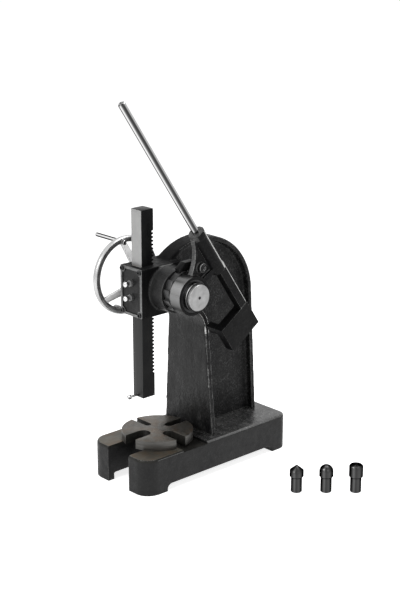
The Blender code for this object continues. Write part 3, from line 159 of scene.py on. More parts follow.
def round_edges(shape, width, segments, chosen):
    """Round the edges that a test of their two ends picks out."""
    choose(shape, "EDGE", lambda edge: chosen(*[shape.data.vertices[end].co for end in edge.vertices]))
    bpy.ops.mesh.bevel(offset=width, segments=segments, affect="EDGES")
    mode("OBJECT")


def upright(a, b):
    return abs(a.z - b.z) > 0.001


def as_cast(shape, grid, rounds):
    """Run all the overlapping lumps into one skin with the soft corners of a sand mould."""
    work(shape, "REMESH", mode="VOXEL", voxel_size=grid)
    work(shape, "SMOOTH", iterations=rounds)


base = block("press_base", (-BASE_SIDE, BASE_FRONT, FLOOR_Z - MILLING), (BASE_SIDE, BASE_REAR, DECK_Z))
round_edges(base, 0.042, 14, lambda a, b: upright(a, b) and a.y < 0)
round_edges(base, 0.028, 12, lambda a, b: (
    upright(a, b) and a.y > 0.2 and abs(a.x - b.x) < 0.001 and abs(abs(a.x) - BASE_SIDE) < 0.001))
round_edges(base, 0.005, 4, lambda a, b: min(a.z, b.z) > DECK_Z - 0.001)
front_lands = block("front_lands", (-BASE_SIDE + 0.004, BASE_FRONT + 0.004, DECK_Z - 0.02),
                    (BASE_SIDE - 0.004, 0.02, DECK_Z + MILLING))
round_edges(front_lands, 0.038, 14, lambda a, b: upright(a, b) and a.y < 0)
notch = drum("notch", "Z", NOTCH_HALF, BELOW, DECK_Z + 0.01, (0, NOTCH_END))
add(notch, block("mouth", (-NOTCH_HALF, BASE_FRONT - 0.01, BELOW), (NOTCH_HALF, NOTCH_END, DECK_Z + 0.01)))
arch = block("arch", (-BASE_SIDE - 0.01, -0.063, BELOW), (BASE_SIDE + 0.01, 0.325, ARCH_TOP))
round_edges(arch, 0.012, 6, lambda a, b: min(a.z, b.z) > ARCH_TOP - 0.001 and abs(a.x - b.x) > 0.1)
toe_relief = block("toe_relief", (-0.075, -0.117, BELOW), (0.075, NOTCH_END, ARCH_TOP))
hollow = block("hollow", (-0.102, 0.027, BELOW), (0.102, 0.325, HOLLOW_TOP))
round_edges(hollow, 0.02, 6, upright)
add(base, front_lands)
carve(base, notch, arch, toe_relief, hollow)
as_cast(base, 0.0028, 4)
bolt_places = [(-0.06, 0.12), (0.06, 0.12), (-0.014, 0.3405), (0.014, 0.3405)]
carve(base, block("plate_seat", (-0.2, -0.008, SEAT_Z), (0.2, SEAT_REAR, 0.0)),
      block("milled_front", (-0.2, -0.2, DECK_Z), (0.2, 0.0, 0.0)),
      block("milled_feet", (-0.2, -0.2, BELOW), (0.2, 0.5, FLOOR_Z)),
      drum("pin_bore", "Z", PIN_BORE, -0.0523, -0.02, (0, 0), 48),
      *[drum("bolt_hole", "Z", 0.0043, -0.052, -0.02, spot, 32) for spot in bolt_places],
      *[drum("bolt_pocket", "Z", 0.009, BELOW, HOLLOW_TOP, spot, 32) for spot in bolt_places])


def node(tree, kind, inputs, **settings):
    """The outputs of a new node, whose inputs are linked to patterns or set to values."""
    made = tree.nodes.new("ShaderNode" + kind)
    for name, value in settings.items():
        setattr(made, name, value)
    for name, value in inputs.items():
        if isinstance(value, bpy.types.NodeSocket):
            tree.links.new(value, made.inputs[name])
        else:
            made.inputs[name].default_value = value
    return made.outputs


def coordinates(tree, stretch=(1, 1, 1), turn=(0, 0, 0)):
    """The piece's own coordinates, stretched or turned to suit a grain."""
    own = node(tree, "TexCoord", {})["Object"]
    return node(tree, "Mapping", {"Vector": own, "Rotation": turn, "Scale": stretch},
                vector_type="TEXTURE")["Vector"]


def noise(tree, vector, scale, detail=3, roughness=0.5):
    return node(tree, "TexNoise", {"Vector": vector, "Scale": scale, "Detail": detail,
                                   "Roughness": roughness})["Fac"]


def spread(tree, value, low, high, start=0.3, end=0.7):
    """Bring a pattern's middle range to the range that is wanted."""
    return node(tree, "MapRange", {"Value": value, "From Min": start, "From Max": end, "To Min": low,
                                   "To Max": high})["Result"]


def shade(colour):
    """A colour, or the grey that one number stands for, or a pattern as it is."""
    if isinstance(colour, bpy.types.NodeSocket):
        return colour
    return (*colour, 1) if isinstance(colour, tuple) else (colour, colour, colour, 1)


def blend_colours(tree, factor, first, second):
    """Go from one colour to another by a pattern."""
    return node(tree, "Mix", {0: factor, 6: shade(first), 7: shade(second)}, data_type="RGBA")[2]


def work_out(tree, operation, *values):
    return node(tree, "Math", dict(enumerate(values)), operation=operation)[0]


def bumps(tree, *layers):
    """Stack height patterns, each given with its depth in metres."""
    below = {}
    for height, depth in layers:
        below = {"Normal": node(tree, "Bump", {"Height": height, "Distance": depth, **below})["Normal"]}
    return below["Normal"]


def bare_finish(name, metallic, specular=0.5, tint=1):
    """A new finish, with its tree and its shader."""
    made = bpy.data.materials.new(name)
    made.use_nodes = True
    shader = made.node_tree.nodes["Principled BSDF"]
    shader.inputs["Metallic"].default_value = metallic
    shader.inputs["Specular IOR Level"].default_value = specular
    shader.inputs["Specular Tint"].default_value = shade(tint)
    return made, made.node_tree, shader


def connect(tree, shader, *patterns):
    for name, pattern in zip(("Base Color", "Roughness", "Normal"), patterns):
        tree.links.new(pattern, shader.inputs[name])


def casting_paint(name, dark, light, glint_and_wear_colour, grain, sheen, gloss, depth, stretch=(1, 1, 1)):
    """Black paint over sand-cast iron: blotches, the mould's pits and lumps, and specks of wear and painted
    glints.
    """
    made, tree, shader = bare_finish(name, 0.0, sheen)
    vector = coordinates(tree, stretch)
    blotches = noise(tree, vector, 14, 4, 0.6)
    pits = noise(tree, vector, 210, 5, 0.7)
    lumps = noise(tree, vector, 48, 2, 0.5)
    colour = blend_colours(tree, spread(tree, blotches, 0, 1), dark, light)
    # Light specks on the grain's high spots: partly paint thinned by wear, partly painted glints.
    glints_and_wear = work_out(tree, "MULTIPLY", spread(tree, pits, 0, grain, 0.48, 0.68),
                    spread(tree, noise(tree, vector, 34, 3, 0.6), 0.1, 1.0, 0.35, 0.65))
    colour = blend_colours(tree, glints_and_wear, colour, glint_and_wear_colour)
    roughness = spread(tree, noise(tree, vector, 60, 3), gloss, gloss + 0.22)
    connect(tree, shader, colour, roughness, bumps(tree, (lumps, depth * 2), (pits, depth)))
    return made


def rusty_iron(tree, speck_size, speck_start, oil_size, dull, bright, rust):
    """The colour of bare iron under clouds of old oil, with specks of rust."""
    vector = coordinates(tree)
    specks = spread(tree, noise(tree, vector, speck_size, 5, 0.65), 0, 1, speck_start, speck_start + 0.3)
    oil = spread(tree, noise(tree, vector, oil_size), 0, 1)
    return blend_colours(tree, specks, blend_colours(tree, oil, dull, bright), rust)


def dress(shape, body, slot, finish, *nodes, angle=35):
    """Shade, paint and hang up a finished piece, which stands for the CAD nodes named."""
    take(shape)
    bpy.ops.object.shade_smooth_by_angle(angle=math.radians(angle))
    shape.data.materials.clear()
    shape.data.materials.append(finish)
    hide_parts(*nodes)
    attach(shape, body)


def second_finish(shape, finish, chosen):
    """Give the faces that a test of their middle and normal picks out a finish of their own."""
    shape.data.materials.append(finish)
    shape.active_material_index = len(shape.data.materials) - 1
    choose(shape, "FACE", lambda face: chosen(face.center, face.normal))
    bpy.ops.object.material_slot_assign()
    mode("OBJECT")


black_paint = casting_paint("black_casting_paint", (0.008, 0.008, 0.0085), 0.017, 0.055,
                            0.3, 0.18, 0.34, 0.0005)
# The deck paint is lighter with big bright specks: a painted sheen for the deck's up-facing faces.
deck_paint_with_painted_sheen = casting_paint("deck_casting_paint", (0.012, 0.012, 0.0125), 0.04, (0.22, 0.22, 0.216),
                           0.8, 0.6, 0.18, 0.0005)
# Light paint for rounded edges: partly wear, partly a painted highlight along the edge.
edge_highlight_paint = casting_paint("worn_casting_edge_and_painted_highlight", 0.04, 0.095, (0.3, 0.3, 0.295),
                           1.0, 0.4, 0.28, 0.0003)
# Lighter paint for edges and rims: partly paint thinned by wear, partly a painted highlight.
rubbed_and_highlit_paint = casting_paint("rubbed_casting_paint_and_painted_highlight", 0.018, (0.06, 0.06, 0.059), (0.2, 0.2, 0.196),
                             1.0, 0.3, 0.3, 0.0004)
milled_iron, tree, shader = bare_finish("milled_iron", 0.75)
strokes = noise(tree, coordinates(tree, (1, 16, 1)), 420, 2)
connect(tree, shader, rusty_iron(tree, 22, 0.42, 9, (0.062, 0.06, 0.051), (0.15, 0.143, 0.122),
                                 (0.12, 0.084, 0.052)),
        spread(tree, strokes, 0.36, 0.58), bumps(tree, (strokes, 0.00012)))
dress(base, "frame", "black_casting_paint", black_paint, "base_casting", angle=30)
# The flat rear deck takes the lighter deck paint, which is a painted sheen.
second_finish(base, deck_paint_with_painted_sheen, lambda middle, normal: (
    normal.z > 0.9 and middle.z > DECK_Z - 0.001 and middle.y > SEAT_REAR))
# The base's top rounding is painted light: a painted highlight along the edge, with some wear.
second_finish(base, edge_highlight_paint, lambda middle, normal: middle.z > DECK_Z - 0.006 and 0.35 < normal.z < 0.93)
# The upright edges at the notch's mouth are painted light: a painted highlight.
second_finish(base, rubbed_and_highlit_paint, lambda middle, normal: (
    normal.y < -0.35 and abs(normal.x) > 0.35 and abs(middle.x) < 0.046 and middle.y < -0.13))
second_finish(base, milled_iron, lambda middle, normal: normal.z > 0.93 and (
    abs(middle.z - SEAT_Z) < 0.0004 or (middle.y < 0 and middle.z > DECK_Z - 0.0004)))


# Column bolts: four black socket screws that come up from the base's hollow into the column's feet.
# They are turned steel with a black oxide skin, and the same finish is on the smaller screws.
def metal(name, metallic, marks, dull, bright, gloss, depth, stretch=(1, 1, 1), clouds=None,
          shares=(0.3, 0.7), swell=0, specular=0.5, tint=1):
    """Worked metal in two shades, which follow its marks, or broader clouds where they are given."""
    made, tree, shader = bare_finish(name, metallic, specular, tint)
    fine = noise(tree, coordinates(tree, stretch), *marks)
    broad = noise(tree, coordinates(tree), *clouds) if clouds else fine
    layers = [(fine, depth), (broad, swell)] if swell else [(fine, depth)]
    connect(tree, shader, blend_colours(tree, spread(tree, broad, 0, 1, *shares), dull, bright),
            spread(tree, fine, *gloss), bumps(tree, *layers))
    return made


def refinish(finish, *nodes):
    """Give a finish to CAD nodes that keep their own mesh."""
    for name in nodes:
        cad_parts[name].material_slots[0].material = finish


black_oxide = metal("black_oxide_screw", 0.55, (300, 3, 0.6), (0.014, 0.014, 0.015), (0.06, 0.06, 0.062),
                    (0.28, 0.46), 0.00008, shares=(0.5, 0.8))
refinish(black_oxide, *[f"column_bolt_{number}" for number in range(1, 5)])

# Column casting: one grey iron casting of a wide front flange that sweeps forward under the head, a thin
# web, a round rim and the head. Its feet, the guide of the ram, the head's front and the bosses are milled.
SHAFT = (-0.001935, 0.405)
FOOT_Z = DECK_Z + 0.0003
SOLE_Z = FOOT_Z - MILLING
RIM_CENTRE = (0.142, 0.325)
NECK_CENTRE = (0.047, 0.2745)
NECK_HALF = 0.074
HEAD_HALF = 0.0425
HEAD_FRONT = -0.0713
RIGHT_FACE, LEFT_FACE = 0.0895, -0.0494
SCREW_X = 0.0337
SCREW_LEVELS = (0.3443, 0.4582)


def draw(points):
    """Draw a line point by point, each pulled out of the one before it."""
    fresh()
    bpy.ops.mesh.primitive_plane_add(size=0.01)
    mode("EDIT")
    bpy.ops.mesh.select_mode(type="VERT")
    bpy.ops.mesh.merge(type="CENTER")
    bpy.ops.transform.translate(value=points[0])
    for before, after in zip(points, points[1:]):
        bpy.ops.mesh.extrude_region_move(TRANSFORM_OT_translate={"value": Vector(after) - Vector(before)})
    bpy.ops.mesh.select_all(action="SELECT")


def close_up(name):
    """Turn all faces outwards and leave edit mode."""
    bpy.ops.mesh.normals_make_consistent(inside=False)
    mode("OBJECT")
    return settle(name)


def drawn(name, axis, start, end, outline):
    """An outline of two coordinates, filled and pulled along the third."""
    draw([place(axis, start, *point) for point in outline])
    bpy.ops.mesh.edge_face_add()
    bpy.ops.mesh.extrude_region_move(TRANSFORM_OT_translate={"value": place(axis, end - start, 0, 0)})
    bpy.ops.mesh.select_all(action="SELECT")
    return close_up(name)


def turned(name, axis, profile, centre=(0, 0), steps=96, closed=False):
    """A profile of radius and distance, turned once round an axis."""
    line = [place(axis, along, centre[0] + radius, centre[1]) for radius, along in profile]
    draw(line + line[:1] if closed else line)
    bpy.ops.mesh.spin(steps=steps, angle=math.tau, center=place(axis, 0, *centre), axis=place(axis, 1, 0, 0))
    bpy.ops.mesh.select_all(action="SELECT")
    bpy.ops.mesh.remove_doubles(threshold=0.000002)
    return close_up(name)


def around(centre, radius, angle):
    """A point on a circle, from its angle in degrees."""
    return (centre[0] + radius * math.cos(math.radians(angle)),
            centre[1] + radius * math.sin(math.radians(angle)))


def arc(centre, radius, start, end, steps):
    return [around(centre, radius, start + (end - start) * step / steps) for step in range(steps + 1)]


def gather(name, *shapes):
    """Make one object of several shapes, without joining their surfaces."""
    fresh()
    for shape in shapes:
        shape.select_set(True)
    bpy.context.view_layer.objects.active = shapes[0]
    bpy.ops.object.join()
    shapes[0].name = shapes[0].data.name = name
    return shapes[0]


web = drawn("web", "X", -0.006, 0.006, arc(RIM_CENTRE, 0.179, 129, 0, 60)
            + [(0.3405, SOLE_Z), (0.12, SOLE_Z)] + arc(NECK_CENTRE, 0.067, 0, 90, 16)
            + [(0.005, 0.3385), (0.005, 0.462)])
rim = drawn("rim", "X", -0.025, 0.025, arc(RIM_CENTRE, 0.1855, 132, 0, 80)
            + [(0.347, SOLE_Z), (0.334, SOLE_Z)] + arc(RIM_CENTRE, 0.1725, 0, 127, 80))
flange = drawn("flange", "X", -0.107, 0.107, [(0.113, SOLE_Z)] + arc(NECK_CENTRE, 0.06, 0, 90, 32)
               + arc(NECK_CENTRE, 0.074, 90, 0, 32) + [(0.127, SOLE_Z)])
flange_front = [(-0.103, FLOOR_Z), (0.103, FLOOR_Z), (NECK_HALF, NECK_CENTRE[1]), (NECK_HALF, 0.47),
                (-NECK_HALF, 0.47), (-NECK_HALF, NECK_CENTRE[1])]
carve(flange, drawn("flange_front", "Y", 0.0, 0.2, flange_front), operation="INTERSECT")
head = block("head", (-HEAD_HALF, HEAD_FRONT - MILLING, 0.3345), (HEAD_HALF, 0.055, 0.4665))
right_boss = drum("right_boss", "X", 0.0585, 0.0, RIGHT_FACE + MILLING, SHAFT, 128)
left_boss = drum("left_boss", "X", 0.036, LEFT_FACE - MILLING, 0.0, SHAFT, 96)
column = gather("press_column", web, rim, flange, head, right_boss, left_boss)
as_cast(column, 0.0026, 5)
carve(column, block("guide", (-0.0203, -0.08, 0.33), (0.0203, -0.0247, 0.48)),
      drum("right_bore", "X", 0.0391, -0.0203, 0.1, SHAFT),
      drum("left_bore", "X", 0.0246, -0.06, 0.0, SHAFT),
      block("milled_head", (-0.1, -0.1, 0.3), (0.1, HEAD_FRONT, 0.5)),
      block("milled_sole", (-0.2, 0.0, -0.1), (0.2, 0.4, FOOT_Z)),
      block("right_face", (RIGHT_FACE, -0.1, 0.3), (0.12, 0.1, 0.5)),
      block("left_face", (-0.08, -0.1, 0.33), (LEFT_FACE, 0.06, 0.48)),
      turned("boss_edge", "X", [(0.0568, 0.09), (0.061, 0.09), (0.061, 0.0858)], SHAFT, 96, True),
      *[drum("bolt_hole", "Z", 0.0043, -0.05, 0.0046, spot, 24) for spot in bolt_places],
      *[drum("screw_hole", "Y", 0.0043, -0.09, -0.0567, (x, z), 24)
        for x in (-SCREW_X, SCREW_X) for z in SCREW_LEVELS])


def weld(shape, reach):
    """Join corners that the cuts left almost on top of each other."""
    take(shape)
    mode("EDIT")
    bpy.ops.mesh.select_all(action="SELECT")
    bpy.ops.mesh.remove_doubles(threshold=reach)
    mode("OBJECT")


def away(spot, centre):
    """How far a spot lies from an axis along X."""
    return math.hypot(spot.y - centre[0], spot.z - centre[1])


weld(column, 0.00002)
# A darker, duller copy of the black paint: painted shade and dark reflection, for the head's sides, the rim's
# outer faces, the cover's sides and the lever frame's walls.
shaded_black_paint = casting_paint("black_head_paint", (0.0035, 0.0035, 0.004), 0.007, 0.02,
                           0.3, 0.04, 0.3, 0.0004)
column_paint = casting_paint("rough_casting_paint", (0.003, 0.003, 0.0035), 0.01, 0.11,
                             0.8, 0.12, 0.3, 0.001)
# Lighter paint with upright marks for the flange's front: a painted sheen of highlights.
flange_painted_sheen = casting_paint("flange_casting_paint_painted_sheen", (0.003, 0.003, 0.0035), 0.016, 0.07,
                             0.75, 0.16, 0.24, 0.0008, (1, 1, 2))
# Bright bare metal for lines of light on two edges: a painted highlight on the flange's neck and the lever's
# rear edge.
edge_highlight_metal = metal("edge_highlight_metal", 1.0, (160, 4, 0.7), 0.1, (0.62, 0.62, 0.61), (0.5, 0.28), 0.0001,
                  shares=(0.35, 0.6))
dress(column, "frame", "black_casting_paint", column_paint, "column_frame", angle=30)
# The flange's forward-facing faces get the painted sheen.
second_finish(column, flange_painted_sheen, lambda middle, normal: (
    abs(normal.x) < 0.5 and normal.y < -0.5 and middle.z < 0.33 and middle.y < 0.135))
# The flange's side edges are painted light: a painted highlight, with some wear.
second_finish(column, edge_highlight_paint, lambda middle, normal: (
    abs(normal.x) > 0.35 and math.hypot(normal.y, normal.z) > 0.35
    and abs(middle.x) > 0.069 and middle.y < 0.135))
# The flange's edge at the neck is a bright line: a painted highlight.
second_finish(column, edge_highlight_metal, lambda middle, normal: (
    abs(normal.x) > 0.45 and math.hypot(normal.y, normal.z) > 0.35
    and 0.069 < abs(middle.x) < 0.08 and 0.262 < middle.z < 0.342))
# A light line along the column's foot: a painted highlight.
second_finish(column, rubbed_and_highlit_paint, lambda middle, normal: middle.z < FOOT_Z + 0.0045 and normal.z > -0.5)
# The rim's outer edges are painted light: a painted highlight.
second_finish(column, rubbed_and_highlit_paint, lambda middle, normal: (
    0.35 < abs(normal.x) < 0.93 and 0.02 < abs(middle.x) < 0.026 and away(middle, RIM_CENTRE) > 0.181))
# The head's sides and the rim's outer faces get the darker paint: painted shade and dark reflection.
second_finish(column, shaded_black_paint, lambda middle, normal: (
    middle.z > 0.33 and abs(middle.x) < 0.0432 and (middle.y < 0.058 or away(middle, RIM_CENTRE) > 0.1845)))
# The bosses keep the lighter black paint, the lit copy beside the painted shade of the head.
second_finish(column, black_paint, lambda middle, normal: (
    abs(middle.x) > 0.0432 and away(middle, SHAFT) < 0.0605))
# The head's front corners are painted light: a painted highlight.
second_finish(column, rubbed_and_highlit_paint, lambda middle, normal: (
    max(abs(normal.x), abs(normal.y), abs(normal.z)) < 0.9 and middle.y < 0.03 and middle.z > 0.33
    and 0.0395 < abs(middle.x) < 0.0432))
# The rounded edges that lean to the right, on the right boss and the flange's lower sides, are painted light:
# a painted highlight.
second_finish(column, rubbed_and_highlit_paint, lambda middle, normal: 0.3 < normal.x < 0.95 and middle.x > 0.084)

# Bushes and the plate's pin: bronze bushes pressed into the head's bores, and a ground steel pin that
# stands in the base. Hardly any of them shows once the press is together.
bronze = metal("bearing_bronze", 1.0, (500, 2), (0.36, 0.21, 0.08), (0.5, 0.32, 0.14), (0.28, 0.42),
               0.00005, (1, 30, 30))
refinish(bronze, "bush_right", "bush_left", "gib_shoe")
bright_steel = metal("bright_steel", 1.0, (420, 3), (0.3, 0.3, 0.305), 0.42, (0.22, 0.36), 0.00006,
                     (1, 30, 30), (70, 3), tint=(0.35, 0.35, 0.36))
refinish(bright_steel, "anvil_pin", "ratchet_key", "wheel_key")

# Anvil plate: a thick iron disc, turned all over and slotted on four sides in four widths. It lies on the
# base, turns on its pin by hand, and is left bare, oiled and a little rusty.
plate = turned("press_plate", "Z", [(0, -0.0257), (0.096, -0.0257), (0.096, 0), (0, 0)], (0, 0), 128)
for turn, half_width in ((0, 0.016), (90, 0.012), (180, 0.009), (270, 0.02)):
    start = 0.03 + half_width
    slot = drum("slot", "Z", half_width, -0.03, 0.01, (start, 0), 48)
    add(slot, block("slot_mouth", (start, -half_width, -0.03), (0.11, half_width, 0.01)))
    take(slot)
    slot.rotation_euler[2] = math.radians(turn)
    settle("slot")
    carve(plate, slot)
carve(plate, drum("plate_bore", "Z", PIN_BORE, -0.03, -0.0134, (0, 0), 48))


def soften(shape, width, segments=2, angle=30):
    """Break every sharp edge."""
    work(shape, "BEVEL", width=width, segments=segments, limit_method="ANGLE",
         angle_limit=math.radians(angle))


def tool_rings(tree, vector, axis, scale, waver):
    """The rings that a lathe's tool leaves on a face."""
    return node(tree, "TexWave", {"Vector": vector, "Scale": scale, "Distortion": waver},
                wave_type="RINGS", rings_direction=axis)["Fac"]


soften(plate, 0.001)
turned_iron, tree, shader = bare_finish("turned_iron", 0.75)
vector = coordinates(tree)
connect(tree, shader, rusty_iron(tree, 26, 0.45, 11, (0.066, 0.063, 0.056), (0.17, 0.16, 0.143),
                                 (0.125, 0.08, 0.046)),
        spread(tree, noise(tree, vector, 90, 3), 0.34, 0.52),
        bumps(tree, (tool_rings(tree, vector, "Z", 260, 1.5), 0.00008)))
dress(plate, "anvil", "machined_iron", turned_iron, "anvil_plate")
turned_side = metal("turned_side", 0.7, (330, 3), (0.05, 0.049, 0.046), (0.105, 0.102, 0.096),
                    (0.34, 0.48), 0.0001, (12, 12, 1))
# Near-black finish for the walls of the plate's slots and of the plate's seat step in the base.
dark_wall_finish = metal("dark_wall_iron", 0.4, (45, 4, 0.6), (0.01, 0.01, 0.009), (0.026, 0.025, 0.022),
               (0.36, 0.56), 0.0003, specular=0.2)
second_finish(plate, turned_side, lambda middle, normal: (
    abs(normal.z) < 0.5 and math.hypot(middle.x, middle.y) > 0.0945))
second_finish(plate, dark_wall_finish, lambda middle, normal: (
    abs(normal.z) < 0.5 and math.hypot(middle.x, middle.y) < 0.0945))
# The walls of the plate's seat step in the base are near-black.
second_finish(base, dark_wall_finish, lambda middle, normal: (
    DECK_Z - 0.0066 < middle.z < DECK_Z - 0.0005 and middle.y < 0.079 and abs(middle.x) < 0.114))

# Ram: a 40 mm square bar of blackened steel, ground on its four sides, with a 10 mm pitch rack milled in
# its back and a socket for the punches bored in its foot.
RAM_FOOT = 0.1073
RAM_HEAD = 0.615
RAM_FRONT, RAM_BACK = -0.065, -0.025
CLAMP_Z = RAM_FOOT + 0.007
PITCH = 0.010
TOOTH_TIP = -0.0304
LEAN = 0.003 * math.tan(math.radians(20))
teeth = []
for tooth in range(39):
    space = 0.555 - tooth * PITCH
    teeth += [(RAM_BACK, space + 0.0035), (TOOTH_TIP, space + 0.0026 - LEAN),
              (TOOTH_TIP, space - 0.0026 + LEAN), (RAM_BACK, space - 0.0035)]
ram_line = [(RAM_FRONT, RAM_FOOT), (RAM_FRONT, RAM_HEAD), (RAM_BACK, RAM_HEAD), *teeth, (RAM_BACK, RAM_FOOT)]
ram = drawn("press_ram", "X", -0.02, 0.02, ram_line)
round_edges(ram, 0.0012, 3, lambda a, b: max(a.y, b.y) < RAM_FRONT + 0.001
            or min(a.z, b.z) > RAM_HEAD - 0.0001 or max(a.z, b.z) < RAM_FOOT + 0.0001)
carve(ram, drum("socket", "Z", 0.015, RAM_FOOT - 0.01, RAM_FOOT + 0.046, (0, -0.045)),
      drum("cross_hole", "Y", 0.0031, -0.08, -0.045, (0, CLAMP_Z), 32))


def bar_steel(name, metallic, dull, bright, sheen):
    """Drawn and ground steel, with its grain along the bar and clouds of old oil."""
    return metal(name, metallic, (380, 3), dull, bright, (0.3, 0.44), 0.00008, (1, 1, 30), (18, 4, 0.6),
                 specular=sheen)


blackened = bar_steel("blackened_steel", 0.4, (0.006, 0.006, 0.0065), 0.013, 0.08)
dress(ram, "ram", "blackened_steel", blackened, "ram_rack")
# The ram's front face is painted light high up and dark low down: a painted highlight on the front, with
# painted shade under the head.
ram_front_painted_light = bar_steel("ram_front_painted_highlight_and_shade", 0.5, 0.3, (0.38, 0.38, 0.375), 0.3)
tree = ram_front_painted_light.node_tree
colour = tree.nodes["Principled BSDF"].inputs["Base Color"]
height = node(tree, "SeparateXYZ", {"Vector": coordinates(tree)})["Z"]
lit_upper_share = spread(tree, height, 0, 1, 0.36, 0.46)
tree.links.new(blend_colours(tree, lit_upper_share, 0.02, colour.links[0].from_socket), colour)
# Only the faces that look forward get the painted light.
second_finish(ram, ram_front_painted_light, lambda middle, normal: normal.y < -0.9 and middle.y < RAM_FRONT + 0.001)

# Clamp screw: a long chromed thumbscrew through the front of the ram's foot, which holds the punch.
# Its knob is turned with a round edge, and its thread is cut to the knob.
screw_line = [(0, -0.1), (0.0042, -0.1), (0.006, -0.0982), (0.006, -0.0925), (0.0045, -0.091),
              (0.003, -0.0905), (0.003, -0.0603), (0, -0.0603)]
screw = turned("punch_thumbscrew", "Y", screw_line, (0, CLAMP_Z), 48)
chrome = metal("chrome", 1.0, (90, 3), (0.52, 0.52, 0.53), 0.66, (0.08, 0.2), 0.00004,
               tint=(0.3, 0.3, 0.31))


def counted_from(tree, vector, x, y, z):
    """The same coordinates, counted from another point."""
    return node(tree, "Mapping", {"Vector": vector, "Location": (-x, -y, -z)})["Vector"]


def rod_with_painted_reflections(name, turn, middle, start, reflection_greys, tint=0.4, gloss=0.1):
    """Polished rod with painted reflections: bands of bright and dark round it, given round half a turn from
    a start.
    """
    made, tree, shader = bare_finish(name, 1.0, tint=tint)
    along = coordinates(tree, (1, 1, 50), turn)
    lines = noise(tree, along, 240, 3)
    dial = node(tree, "TexGradient", {"Vector": counted_from(tree, along, *middle, 0)},
                gradient_type="RADIAL")["Fac"]
    half_turns = work_out(tree, "MULTIPLY_ADD", dial, 2, 2 - 2 * start)
    reflection_bands = tree.nodes.new("ShaderNodeValToRGB")
    stops = reflection_bands.color_ramp.elements
    for stop, (spot, grey) in zip(stops[:], (reflection_greys[0], reflection_greys[-1])):
        stop.position, stop.color = spot, shade(grey)
    for spot, grey in reflection_greys[1:-1]:
        stops.new(spot).color = shade(grey)
    tree.links.new(work_out(tree, "FRACT", half_turns), reflection_bands.inputs["Fac"])
    connect(tree, shader, reflection_bands.outputs["Color"], spread(tree, lines, gloss, gloss + 0.14),
            bumps(tree, (lines, 0.00005)))
    return made


# The thumbscrew's dark and bright bands are painted reflections.
screw_painted_reflections = rod_with_painted_reflections("screw_painted_reflections", (math.radians(90), 0, 0), (0, CLAMP_Z), 0.313,
                            [(0.001, 0.03), (0.3, 0.1), (0.5, 0.4), (0.72, 0.8), (0.999, 0.3)])
dress(screw, "clamp_screw", "chrome", screw_painted_reflections, "punch_clamp_screw")

# Pinion shaft: turned from one bar of steel. Sixteen teeth stand in the head behind the rack, a large
# journal runs out on the right through the lever to a faced end, and a small one carries the handwheel.
PITCH_RADIUS = 0.0254648
BASE_CIRCLE = PITCH_RADIUS * math.cos(math.radians(20))
ROOT_RADIUS = 0.0224648
TIP_RADIUS = 0.0278648
TOOTH_HALF = 0.0024
JOURNAL = 0.0345
KEY_HALF = 0.004
SMALL_SEAT = 0.0125


def roll(radius):
    """How far an involute has unrolled at a radius."""
    along = math.sqrt(max((radius / BASE_CIRCLE) ** 2 - 1, 0))
    return along - math.atan(along)


flank = [(ROOT_RADIUS, TOOTH_HALF / PITCH_RADIUS + roll(PITCH_RADIUS))]
for step in range(5):
    radius = BASE_CIRCLE + (TIP_RADIUS - BASE_CIRCLE) * step / 4
    flank.append((radius, TOOTH_HALF / PITCH_RADIUS + roll(PITCH_RADIUS) - roll(radius)))
gear = []
for tooth in range(16):
    middle = math.pi + math.tau * tooth / 16
    gear += [(SHAFT[0] + radius * math.cos(middle + side), SHAFT[1] + radius * math.sin(middle + side))
             for radius, side in [(r, -half) for r, half in flank] + flank[::-1]]
pinion = drawn("pinion_teeth", "X", -0.0197, 0.0197, gear)
journal_line = [(0, 0.016), (0.0222, 0.016), (0.0222, 0.0219), (JOURNAL, 0.0219), (JOURNAL, 0.1597),
                (0.0327, 0.1597), (0.0327, 0.1621), (JOURNAL, 0.1621), (JOURNAL, 0.1685), (0.033, 0.17),
                (0.0042, 0.17), (0.0028, 0.1686), (0, 0.1655)]
small_line = [(0, -0.102), (0.007, -0.102), (0.008, -0.101), (0.008, -0.082), (SMALL_SEAT, -0.082),
              (SMALL_SEAT, -0.05), (0.02, -0.05), (0.02, -0.016), (0, -0.016)]
shaft = turned("journal", "X", journal_line, SHAFT, 128)
add(shaft, pinion, turned("small_end", "X", small_line, SHAFT, 64))
for radius, start, end in ((JOURNAL, 0.091, 0.111), (SMALL_SEAT, -0.0817, -0.0518)):
    carve(shaft, block("keyway", (start, SHAFT[0] - KEY_HALF, SHAFT[1] + radius - 0.0035),
                       (end, SHAFT[0] + KEY_HALF, SHAFT[1] + radius + 0.002)))
shaft.name = shaft.data.name = "press_shaft"
faced_steel, tree, shader = bare_finish("faced_steel", 1.0, tint=(0.35, 0.35, 0.36))
vector = coordinates(tree)
stains = noise(tree, vector, 55, 4, 0.6)
facing = tool_rings(tree, counted_from(tree, vector, 0, *SHAFT), "X", 420, 0.6)
connect(tree, shader, blend_colours(tree, spread(tree, stains, 0, 1), 0.25, 0.37),
        spread(tree, stains, 0.3, 0.42), bumps(tree, (facing, 0.00006)))
dress(shaft, "pinion", "bright_steel", faced_steel, "pinion_shaft")
# The centre hole in the shaft's end is painted black: painted shade in the hole.
second_finish(shaft, black_oxide, lambda middle, normal: middle.x > 0.165 and away(middle, SHAFT) < 0.0042)

